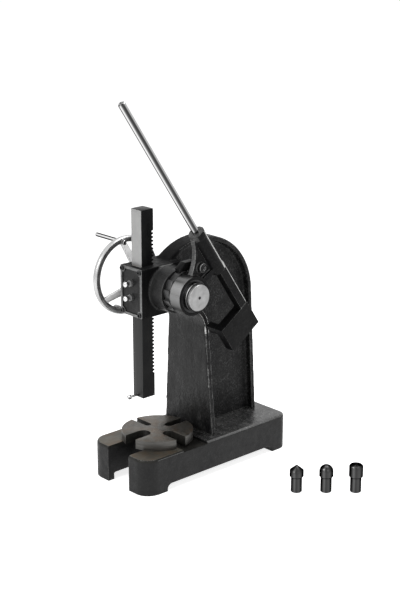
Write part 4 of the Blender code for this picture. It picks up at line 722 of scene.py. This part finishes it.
# Ratchet wheel: twelve long sloping teeth cut in a blackened steel disc, keyed to the shaft beside the
# lever's hub.
TOOTH_ANGLE = 103
ON_JOURNAL = 0.0348
slopes = [around(SHAFT, 0.0545 - 0.007 * (step / 6), TOOTH_ANGLE + 30 * (tooth + step / 6))
          for tooth in range(12) for step in range(7)]
ratchet = drawn("press_ratchet", "X", 0.091, 0.111, slopes)
soften(ratchet, 0.0006, 2, 40)
carve(ratchet, drum("ratchet_bore", "X", ON_JOURNAL, 0.08, 0.12, SHAFT),
      block("keyway", (0.08, SHAFT[0] - KEY_HALF, SHAFT[1] + 0.03),
            (0.12, SHAFT[0] + KEY_HALF, SHAFT[1] + 0.038)))
rubbed_steel = bar_steel("rubbed_blackened_steel", 0.5, (0.04, 0.04, 0.041), 0.1, 0.3)
dress(ratchet, "pinion", "blackened_steel", rubbed_steel, "ratchet_wheel")

# Lever casting: one iron casting of the hub, the sleeve that takes the bar, an open frame and a heavy
# block that balances the bar. It is painted black, with the hub ground bare. The hub's side carries painted
# reflections, the frame's rear edge a bright painted highlight, its walls painted shade, and its other
# edges light paint that is partly wear and partly a painted highlight.
ALONG = Vector((-math.cos(math.radians(124)), -math.sin(math.radians(124))))
ACROSS = Vector((math.sin(math.radians(124)), -math.cos(math.radians(124))))
TILT = math.radians(34)
LEVER_X = 0.131
SLEEVE = 0.1087
HUB_START, HUB_END = 0.112, 0.1500
PIVOT = (0.0320648, 0.472)
PIVOT_FACE = 0.1390
PIVOT_BORE = 0.0053


def on_lever(across, down):
    """A point of the lever's plane, from its distances across and down the bar's direction."""
    return tuple(Vector(SHAFT) + ACROSS * across + ALONG * down)


def lever_bar(name, radius, start, end, steps=64, across=SLEEVE, x=LEVER_X):
    """A round or faceted bar along the sleeve, from its distances up that line."""
    fresh()
    bpy.ops.mesh.primitive_cylinder_add(vertices=steps, radius=radius, depth=end - start,
                                        location=(x, *on_lever(across, -(start + end) / 2)),
                                        rotation=(TILT, 0, 0))
    return settle(name)


def flat_part(name, half, outline):
    """An outline in the lever's plane, pulled to both sides of it."""
    return drawn(name, "X", LEVER_X - half, LEVER_X + half, outline)


def lever_plate(left, right, top, bottom):
    """The outline of a rectangle in line with the bar."""
    return [on_lever(left, top), on_lever(right, top), on_lever(right, bottom), on_lever(left, bottom)]


hub = drum("hub", "X", 0.051, HUB_START - MILLING, HUB_END + MILLING, SHAFT, 128)
sleeve = lever_bar("sleeve", 0.0205, -0.018, 0.12)
lip = lever_bar("lip", 0.0215, 0.104, 0.1205)
beam = flat_part("beam", 0.013, lever_plate(0.103, 0.129, 0.0, 0.158))
weight = flat_part("weight", 0.015, lever_plate(0.018, 0.129, 0.154, 0.233))
sleeve_foot = on_lever(SLEEVE, 0)
first, last = Vector(around(SHAFT, 0.046, 38)), Vector(sleeve_foot)
side = (last - first).normalized().orthogonal() * 0.015 / 2
cross_line = [tuple(corner) for corner in (first - side, last - side, last + side, first + side)]
crossbar = flat_part("crossbar", 0.013, cross_line)
stop_lug = drawn("stop_lug", "X", 0.083, 0.135, lever_plate(0.019, 0.037, 0.155, 0.18))
rib_start, rib_end = Vector(on_lever(0.0917, -0.116)), Vector(around(SHAFT, 0.047, 86))
bow = [rib_start.lerp(rib_end, step / 16) + Vector((0.011, 0)) * math.sin(math.pi * step / 16)
       for step in range(17)]
rib_side = (rib_end - rib_start).orthogonal().normalized() * 0.003
rib = flat_part("rib", 0.008, [tuple(point - rib_side) for point in bow]
                + [tuple(point + rib_side) for point in bow[::-1]])
gusset = flat_part("gusset", 0.004, [tuple(point) for point in bow] + [
    around(SHAFT, 0.047, 38), sleeve_foot, on_lever(SLEEVE, -0.116)])
pivot_boss = drum("pivot_boss", "X", 0.013, HUB_START, PIVOT_FACE + MILLING, PIVOT, 48)
lever = gather("press_lever", hub, sleeve, lip, beam, weight, crossbar, stop_lug, rib, gusset, pivot_boss)
as_cast(lever, 0.0018, 3)
carve(lever, drum("inner_face", "X", 0.075, 0.09, HUB_START, SHAFT),
      drum("outer_face", "X", 0.0545, HUB_END, 0.16, SHAFT),
      drum("hub_bore", "X", ON_JOURNAL, 0.1, 0.16, SHAFT),
      drum("hub_recess", "X", 0.044, 0.147, 0.16, SHAFT),
      drum("pivot_bore", "X", PIVOT_BORE, 0.1, 0.15, PIVOT, 32),
      drum("pivot_face", "X", 0.016, PIVOT_FACE, 0.15, PIVOT, 48),
      lever_bar("bar_bore", 0.00955, 0.0097, 0.13, 48),
      lever_bar("rear_chamfer", 0.0115, -0.153, 0.115, 4, 0.133, 0.148))
ground_iron = metal("ground_iron", 0.7, (500, 3), (0.12, 0.12, 0.121), 0.25, (0.34, 0.52), 0.0001,
                    (1, 30, 30), (40, 4, 0.6), swell=0.0002)
lever_paint = casting_paint("lever_casting_paint", (0.006, 0.006, 0.0065), 0.013, 0.06,
                            0.35, 0.06, 0.32, 0.0005)
dress(lever, "lever", "black_casting_paint", lever_paint, "lever_arm", angle=32)


def spot_on_lever(middle):
    """How far across and down the lever a face lies."""
    flat = Vector((middle.y - SHAFT[0], middle.z - SHAFT[1]))
    return flat.dot(ACROSS), flat.dot(ALONG)


def frame_side(middle, normal):
    return normal.x < 0.35 and spot_on_lever(middle)[1] > 0.02


def frame_edge(middle, normal):
    across, down = spot_on_lever(middle)
    return 0.35 < normal.x < 0.93 and middle.x > 0.126 and (down > 0.02 or across < 0.085)


def lip_face(middle, normal):
    """The sleeve's lip, on the operator's side."""
    return spot_on_lever(middle)[1] < -0.1035 and normal.y < -0.45 and normal.x < 0.8


def rib_face(middle, normal):
    """The side of the curved rib below the sleeve that faces the operator."""
    across, down = spot_on_lever(middle)
    return (across < 0.0885 and -0.112 < down < -0.035 and normal.x < 0.8 and normal.y < -0.15
            and middle.z > 0.445)


def hub_side(middle, normal):
    out = away(middle, SHAFT)
    outward = (middle.y - SHAFT[0]) * normal.y + (middle.z - SHAFT[1]) * normal.z
    return 0.0485 < out < 0.0522 and outward > 0.5 * out and middle.x > 0.1115


def rear_edge(middle, normal):
    """The rear corner of the sleeve and beam, on the side of the operator's right."""
    across, down = spot_on_lever(middle)
    leans = normal.x > 0.25 and Vector((normal.y, normal.z)).dot(ACROSS) > 0.30
    return leans and across > 0.1195 and -0.118 < down < 0.153


# The hub's side is painted with bands: painted reflections, dark at top and bottom and light in the middle.
hub_painted_reflections = rod_with_painted_reflections("hub_painted_reflections", (0, math.radians(90), 0), (-SHAFT[1], SHAFT[0]), -0.068,
                          [(0.001, 0.07), (0.22, 0.16), (0.45, 0.32), (0.7, 0.15), (0.999, 0.04)],
                          0.4, 0.26)
# The frame's walls get the darker paint as painted shade; its right-facing edges, the lip and the rib's front
# get light paint as painted highlights; the hub's side gets painted reflections and the rear edge a bright
# painted highlight.
for finish, chosen in ((shaded_black_paint, frame_side), (rubbed_and_highlit_paint, frame_edge), (rubbed_and_highlit_paint, lip_face),
                       (edge_highlight_paint, rib_face), (hub_painted_reflections, hub_side), (edge_highlight_metal, rear_edge)):
    second_finish(lever, finish, chosen)

# Lever bar: a polished steel rod with a rounded end, pushed into the sleeve and held by a socket set
# screw in the sleeve's rear side.
bar_line = [(0, 0.01), (0.00875, 0.01), (0.00925, 0.0105), (0.00925, 0.54), (0.0088, 0.5423),
            (0.0078, 0.5435), (0, 0.5435)]
bar = turned("press_bar", "Z", bar_line, (0, 0), 64)
take(bar)
bar.rotation_euler[0] = TILT
bar.location = (LEVER_X, *sleeve_foot)
settle("press_bar")
bar_middle = (LEVER_X, Vector(SHAFT).dot(ACROSS) + SLEEVE)
# The bar's bright and dark bands along its length are painted reflections.
bar_painted_reflections = rod_with_painted_reflections("bar_painted_reflections", (TILT, 0, 0), bar_middle, 0.172,
                            [(0.001, 0.05), (0.18, 0.12), (0.27, 0.66), (0.35, 0.4), (0.43, 0.08),
                             (0.56, 0.03), (0.655, 0.08), (0.75, 0.52), (0.999, 0.58)])
dress(bar, "lever", "chrome", bar_painted_reflections, "lever_bar")
refinish(black_oxide, "bar_set_screw")

# Pawl and its pin: a blackened steel pawl in line with the ratchet, on a pin with a round knob that is
# pushed through the lever's boss. It lies tipped back, clear of the teeth.
PAWL_START, PAWL_END = 0.0914, 0.1110
tip, heel = around((0, 0), 0.0575, TOOTH_ANGLE - 1.7), around((0, 0), 0.0484, TOOTH_ANGLE - 1.7)
pawl_line = [Vector(tip), Vector(heel)]
for share in (0.25, 0.6, 1.0):
    angle = math.radians(TOOTH_ANGLE - 30 * share)
    pawl_line.append(Vector((math.cos(angle), math.sin(angle))) * (0.0475 + 0.007 * share + 0.0015))
pawl_line += [Vector((0.034, 0.0592)), Vector((0.034, 0.0794)), Vector((0.004, 0.0742))]
lift = Matrix.Rotation(math.radians(-10), 2)
pivot = Vector((0.034, 0.067))
pawl = drawn("press_pawl", "X", PAWL_START, PAWL_END,
             [tuple(Vector(PIVOT) + lift @ (point - pivot)) for point in pawl_line])
add(pawl, drum("pawl_eye", "X", 0.013, PAWL_START, PAWL_END, PIVOT, 48))
carve(pawl, drum("pawl_hole", "X", PIVOT_BORE, 0.08, 0.12, PIVOT, 32))
soften(pawl, 0.0005, 2, 40)
dress(pawl, "pawl", "blackened_steel", blackened, "pawl")
knob_line = [(0, PAWL_START), (0.005, PAWL_START), (0.005, 0.1393), (0.0112, 0.1393), (0.012, 0.1401),
             (0.012, 0.147), (0.0108, 0.1483), (0.0075, 0.1483), (0.0068, 0.1474), (0.004, 0.1474),
             (0.0034, 0.1466), (0, 0.1455)]
knob = turned("pawl_knob", "X", knob_line, PIVOT, 64)
dress(knob, "lever", "blackened_steel", blackened, "pawl_pin")
second_finish(knob, ground_iron, lambda middle, normal: (
    middle.x > PIVOT_FACE and 0.15 < abs(normal.x) < 0.95))

# Washer, collar and ring: outside the hub a black washer lies in the hub's recess, then a bright turned
# collar, whose colour is painted reflection, dark with one painted highlight band, and a spring ring in a
# groove of the shaft holds them.
washer_line = [(ON_JOURNAL, 0.1473), (0.0425, 0.1473), (0.043, 0.1478), (0.043, 0.1498),
               (0.0425, 0.1503), (ON_JOURNAL, 0.1503)]
collar_line = [(ON_JOURNAL, 0.1506), (0.0371, 0.1506), (0.0375, 0.151), (0.0375, 0.1585),
               (0.0363, 0.1597), (ON_JOURNAL, 0.1597)]
ring_line = [(0.033, 0.16), (0.036, 0.16), (0.0362, 0.1602), (0.0362, 0.1616), (0.036, 0.1618),
             (0.033, 0.1618)]
washer = turned("hub_washer", "X", washer_line, SHAFT, 128, True)
dress(washer, "pinion", "black_oxide_screw", black_oxide, "thrust_washer")
collar = turned("shaft_collar", "X", collar_line, SHAFT, 128, True)
# The collar's dark colour and its one bright band are painted reflection and a painted highlight.
collar_painted_highlight = rod_with_painted_reflections("collar_painted_highlight", (0, math.radians(90), 0), (-SHAFT[1], SHAFT[0]), -0.068,
                             [(0.001, 0.03), (0.25, 0.06), (0.38, 0.8), (0.5, 0.55), (0.64, 0.08),
                              (0.999, 0.02)])
dress(collar, "pinion", "bright_steel", collar_painted_highlight, "spacer_collar")
ring = turned("shaft_ring", "X", ring_line, SHAFT, 128, True)
dress(ring, "pinion", "black_oxide_screw", black_oxide, "retaining_ring")

# Cover plate: a small iron casting with a raised border and a round pad in each corner, which closes the
# ram's guide at the front. It is painted with the head's darker paint, painted shade on its sides; its front
# has the lighter black paint, and its border is painted light, partly wear and partly a painted highlight.
# Four socket screws hold it.
COVER_FACE, PANEL_FACE, COVER_BACK = -0.0851, -0.0821, -0.0716
corners = [(x, z) for z in SCREW_LEVELS for x in (-SCREW_X, SCREW_X)]
bolt_levels = (0.386, 0.424)
cover = block("press_cover", (-HEAD_HALF, COVER_FACE, 0.3355), (HEAD_HALF, COVER_BACK, 0.467))
round_edges(cover, 0.0045, 5, lambda a, b: abs(a.y - b.y) > 0.001)
round_edges(cover, 0.0012, 3, lambda a, b: max(a.y, b.y) < COVER_FACE + 0.0001)
panel = block("panel", (-0.035, -0.1, 0.343), (0.035, PANEL_FACE, 0.4595))
round_edges(panel, 0.003, 4, lambda a, b: abs(a.y - b.y) > 0.001)
carve(panel, *[drum("pad", "Y", 0.0098, -0.11, -0.07, spot, 48) for spot in corners])
soften(panel, 0.001, 3)
carve(cover, panel)
for spot in corners:
    carve(cover, drum("counterbore", "Y", 0.0068, -0.1, PANEL_FACE + 0.0003, spot, 48),
          drum("screw_hole", "Y", 0.0043, -0.1, -0.07, spot, 32))
carve(cover, *[drum("bolt_hole", "Y", 0.0053, -0.1, -0.07, (0, level), 32) for level in bolt_levels])
dress(cover, "frame", "black_head_paint", shaded_black_paint, "cover_plate")
# The forward-facing faces keep the lighter black paint, the lit copy beside the painted shade of the sides.
second_finish(cover, black_paint, lambda middle, normal: normal.y < -0.6)
# The border's front is painted light: partly wear, partly a painted highlight.
rubbed_and_highlit_border = metal("rubbed_and_highlit_border", 0.3, (90, 4, 0.65), 0.06, 0.2, (0.3, 0.46), 0.0002)
second_finish(cover, rubbed_and_highlit_border, lambda middle, normal: middle.y < COVER_FACE + 0.0013 and normal.y < -0.3)


# Cover screws: four black socket head screws with a thin oiled oxide. Their heads are sunk in the pads of
# the cover, and they hold it to the head's milled front.
def copy_of(shape, name, shift):
    """A copy with its own mesh, set down a step away."""
    take(shape)
    bpy.ops.object.duplicate()
    bpy.context.object.location = shift
    return settle(name)


screw_line = [(0, -0.0895), (0.0058, -0.0895), (0.0065, -0.0888), (0.0065, PANEL_FACE),
              (0.004, PANEL_FACE), (0.004, -0.0581), (0, -0.0581)]
first_screw = turned("cover_screw_head_1", "Y", screw_line, corners[0], 48)
carve(first_screw, drum("hexagon", "Y", 0.0034, -0.1, -0.085, corners[0], 6))
screws = [first_screw] + [copy_of(first_screw, f"cover_screw_head_{number}",
                                  (spot[0] - corners[0][0], 0, spot[1] - corners[0][1]))
                          for number, spot in enumerate(corners[1:], 2)]
for number, screw in enumerate(screws, 1):
    dress(screw, "frame", "black_oxide_screw", black_oxide, f"cover_screw_{number}")

# Adjusting bolts: two plated bolts with round domed heads press the gib against the ram, each locked by
# a plated nut against the cover.
bolt_line = [(0, -0.1086), (0.0035, -0.1082), (0.006, -0.1072), (0.0073, -0.1055), (0.0075, -0.104),
             (0.0075, -0.1015), (0.0066, -0.1006), (0.005, -0.1004), (0.005, HEAD_FRONT), (0, HEAD_FRONT)]
for number, level in enumerate(bolt_levels, 1):
    bolt = turned(f"gib_bolt_{number}", "Y", bolt_line, (0, level), 48)
    dress(bolt, "frame", "chrome", chrome, f"adjusting_bolt_{number}")
    nut = drum(f"gib_nut_{number}", "Y", 0.0092, -0.0904, -0.0824, (0, level), 6)
    chamfer_line = [(0.0078, -0.0912), (0.011, -0.0912), (0.011, -0.0888)]
    chamfer = turned("chamfer", "Y", chamfer_line, (0, level), 48, True)
    carve(nut, chamfer, drum("nut_bore", "Y", 0.0053, -0.1, -0.08, (0, level), 32))
    soften(nut, 0.0003, 2, 40)
    dress(nut, "frame", "chrome", ground_iron, f"lock_nut_{number}")

# Handwheel: a cast aluminium wheel with a polished rim and three flat spokes that slant in to a hub on
# the shaft's left end. A boss on the rim takes the crank, and a second, smaller one balances it. The rim's
# sides are painted darker and its inward face near-black: painted reflections.
WHEEL_X = -0.121
SPOKE_X = -0.06675
SPOKE_START, SPOKE_END = 0.023, 0.0990
CRANK_ANGLE = 97
DISH = (-WHEEL_X + SPOKE_X) / (SPOKE_END - SPOKE_START)
CRANK = around(SHAFT, 0.0935, CRANK_ANGLE)
BALANCE = around(SHAFT, 0.093, 250)
rim_line = [(radius, WHEEL_X + side) for radius, side in
            ((0.0925, -0.0085), (0.101, -0.0085), (0.1045, -0.0078), (0.1067, -0.0055), (0.1075, -0.0025),
             (0.1075, 0.0025), (0.1067, 0.0055), (0.1045, 0.0078), (0.101, 0.0085), (0.095, 0.0085),
             (0.092, 0.007), (0.0905, 0.0035), (0.0905, -0.005), (0.0912, -0.0077))]
wheel = turned("press_wheel", "X", rim_line, SHAFT, 160, True)
hub_line = [(0.012, -0.0817), (0.0215, -0.0817), (0.023, -0.0802), (0.023, -0.053), (0.0215, -0.0515),
            (0.012, -0.0515)]
wheel_hub = turned("wheel_hub", "X", hub_line, SHAFT, 96, True)
spokes = []
for turn in (CRANK_ANGLE, CRANK_ANGLE + 120, CRANK_ANGLE + 240):
    spoke = block("spoke", (-0.0045, 0.0178, -0.5), (0.0045, SPOKE_END, 0.5))
    for vertex in spoke.data.vertices:
        narrow = 0.013 if vertex.co.y < 0.05 else 0.0090
        vertex.co.z = math.copysign(narrow, vertex.co.z)
        vertex.co.x += -DISH * vertex.co.y + DISH * SPOKE_START + SPOKE_X
    round_edges(spoke, 0.0025, 3, lambda a, b: abs(a.y - b.y) > 0.05)
    take(spoke)
    spoke.rotation_euler[0] = math.radians(turn)
    spoke.location = (0, *SHAFT)
    spokes.append(settle("spoke"))
crank_line = [(0, -0.13), (0.0085, -0.13), (0.0095, -0.129), (0.0095, -0.1125), (0.0085, -0.1115),
              (0, -0.1115)]
balance_line = [(0, -0.129), (0.008, -0.129), (0.0095, -0.1275), (0.0095, -0.1145), (0.008, -0.113),
                (0, -0.113)]
add(wheel, wheel_hub, *spokes, turned("crank_boss", "X", crank_line, CRANK, 48),
    turned("balance_boss", "X", balance_line, BALANCE, 48))
carve(wheel, drum("spot_face", "X", 0.0066, -0.112, -0.098, CRANK, 32),
      drum("crank_hole", "X", 0.0033, -0.135, -0.105, CRANK, 32),
      drum("wheel_bore", "X", 0.0128, -0.09, -0.045, SHAFT, 64),
      block("wheel_keyway", (-0.09, SHAFT[0] - KEY_HALF, SHAFT[1] + 0.009),
            (-0.045, SHAFT[0] + KEY_HALF, SHAFT[1] + 0.016)))
weld(wheel, 0.00004)
aluminium = metal("polished_aluminium", 0.4, (130, 4, 0.6), 0.42, 0.58, (0.26, 0.42), 0.0002,
                  clouds=(30, 3, 0.5))
rim_painted_reflection = metal("rim_painted_reflection", 0.6, (60, 4, 0.6), 0.13, 0.28, (0.24, 0.4), 0.0002)
dress(wheel, "pinion", "polished_aluminium", aluminium, "handwheel", angle=32)


def outward(middle, normal):
    """How squarely a face of the rim looks away from the shaft."""
    reach = Vector((middle.y - SHAFT[0], middle.z - SHAFT[1]))
    return reach.normalized().dot(Vector((normal.y, normal.z))) if reach.length > 0.088 else 1


# The rim's sides are painted darker and its inward face near-black: painted reflections. The crank's spot
# face is near-black as well.
second_finish(wheel, rim_painted_reflection, lambda middle, normal: outward(middle, normal) < 0.45 and normal.x > -0.3)
second_finish(wheel, blackened, lambda middle, normal: (
    outward(middle, normal) < -0.7 or (middle.x > -0.1127 and away(middle, CRANK) < 0.0068)))

# Wheel washer and nut: plain steel parts that hold the wheel on the shaft's thread, out of sight behind
# the rim.
refinish(bright_steel, "wheel_washer", "wheel_nut")

# Crank: a plated bolt through the rim's boss carries a plated sleeve that turns in the hand. The bolt's
# head stops the sleeve at the outer end, and its inner end is spread in a spot face of the boss.
CRANK_END = WHEEL_X - 0.0093 - 0.0935
pin_line = [(0, CRANK_END - 0.0033), (0.0044, CRANK_END - 0.0033), (0.0055, CRANK_END - 0.0022),
            (0.0055, CRANK_END - 0.0003), (0.003, CRANK_END - 0.0003), (0.003, -0.1117), (0.0055, -0.1117),
            (0.0055, -0.1097), (0.0045, -0.1087), (0, -0.1087)]
sleeve_line = [(0.0033, CRANK_END), (0.005, CRANK_END), (0.0055, CRANK_END + 0.0006), (0.0055, -0.1309),
               (0.005, -0.1303), (0.0033, -0.1303)]
dress(turned("crank_pin", "X", pin_line, CRANK, 48), "pinion", "chrome", chrome, "crank_bolt")
# The grip's bright middle band and dark sides are painted reflections.
grip_painted_reflections = rod_with_painted_reflections("grip_painted_reflections", (0, math.radians(90), 0), (-CRANK[1], CRANK[0]), -0.068,
                          [(0.001, 0.01), (0.34, 0.02), (0.42, 0.8), (0.5, 0.92), (0.58, 0.8),
                           (0.66, 0.02), (0.999, 0.01)])
dress(turned("crank_sleeve", "X", sleeve_line, CRANK, 64, True), "grip", "chrome", grip_painted_reflections, "crank_grip")

# Punches: three turned and blackened steel tools for the ram's socket, one pointed, one round and one
# flat, each with a shoulder above its shank. They stand loose beside the base.
shank = [(0, 0), (0.0132, 0), (0.0147, 0.0015), (0.0147, 0.0385), (0.0151, 0.04), (0.018, 0.0434),
         (0.0185, 0.044)]
tips = {"punch_cone": [(0.0185, 0.0597), (0.018, 0.0606), (0.001, 0.075), (0, 0.0754)],
        "punch_dome": [(0.0185, 0.057)] + [around((0, 0.057), 0.0185, angle) for angle in range(6, 85, 6)]
        + [(0, 0.0755)],
        "punch_flat": [(0.0185, 0.0716), (0.0181, 0.0726), (0.017, 0.0742), (0.016, 0.0752),
                       (0.015, 0.0755), (0, 0.0755)]}
for name, tip in tips.items():
    low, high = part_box(name)
    spot = ((low.x + high.x) / 2, (low.y + high.y) / 2)
    profile = [(radius, FLOOR_Z + height) for radius, height in shank + tip]
    punch = turned(f"loose_{name}", "Z", profile, spot, 96)
    # Each punch's dark and light bands round its side are painted reflections, with painted shade on its
    # shaded side.
    punch_painted_reflections = rod_with_painted_reflections(f"{name}_steel", (0, 0, 0), spot, 0.131,
                              [(0.001, 0.012), (0.25, 0.024), (0.36, 0.09), (0.46, 0.032), (0.62, 0.055),
                               (0.76, 0.02), (0.999, 0.008)], 0.12, 0.24)
    dress(punch, name.split("_")[1] + "_punch", "blackened_steel", punch_painted_reflections, name)

# Studio: a pale floor and a white surround, which the camera and the metal see white, and three broad
# soft lamps. The camera stands to the right of the front, a little above the press.
FLOOR_GLOW = 0.80
SURROUND_LIGHT = 0.26
VIEW_TURN, VIEW_RISE = math.radians(47.27), math.radians(17.15)
AIM = Vector((0.10944, 0.055, 0.37436))
VIEW_DISTANCE = 3.68442


def seen(tree, *rays):
    """Where the camera, a reflection or another ray named looks at it."""
    light_path = node(tree, "LightPath", {})
    found = light_path["Is Camera Ray"]
    for ray in ("Is Glossy Ray", *rays):
        found = work_out(tree, "MAXIMUM", found, light_path[ray])
    return found


bpy.ops.mesh.primitive_plane_add(size=30, location=(0, 0, FLOOR_Z))
floor = bpy.context.object
floor.name = "studio_floor"
floor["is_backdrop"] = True
pale, tree, shader = bare_finish("studio_floor", 0, 0)
shader.inputs["Base Color"].default_value = shade(0.85)
shader.inputs["Roughness"].default_value = 0.9
shader.inputs["Emission Color"].default_value = shade(1)
tree.links.new(work_out(tree, "MULTIPLY", seen(tree), FLOOR_GLOW), shader.inputs["Emission Strength"])
floor.data.materials.append(pale)

world = bpy.data.worlds.new("studio_world")
bpy.context.scene.world = world
world.use_nodes = True
tree = world.node_tree
background = tree.nodes["Background"]
background.inputs["Color"].default_value = shade(1)
level = spread(tree, seen(tree, "Is Transmission Ray"), SURROUND_LIGHT, 1.0, 0, 1)
tree.links.new(level, background.inputs["Strength"])


def lamp(name, spot, aim, power):
    """A broad soft lamp that looks at a point."""
    bpy.ops.object.light_add(type="AREA", location=spot)
    made = bpy.context.object
    made.name = name
    made.data.size = 1.4
    made.data.energy = power
    made.rotation_euler = (Vector(aim) - Vector(spot)).to_track_quat("-Z", "Y").to_euler()


lamp("key_lamp", (-0.3, -2.9, 2.1), (0, 0.05, 0.3), 70)
lamp("fill_lamp", (2.6, -0.6, 1.4), (0, 0.1, 0.3), 12)
lamp("top_lamp", (0.3, 0.9, 2.8), (0, 0.1, 0.3), 46)

back = Vector((math.sin(VIEW_TURN) * math.cos(VIEW_RISE), -math.cos(VIEW_TURN) * math.cos(VIEW_RISE),
               math.sin(VIEW_RISE)))
bpy.ops.object.camera_add(location=AIM + back * VIEW_DISTANCE)
camera = bpy.context.object
camera.rotation_mode = "QUATERNION"
camera.rotation_quaternion = back.to_track_quat("Z", "Y")
camera.data.lens = 85.56
camera.data.clip_end = 100
bpy.context.scene.camera = camera
bpy.context.scene.view_settings.view_transform = "Standard"

low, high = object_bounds()
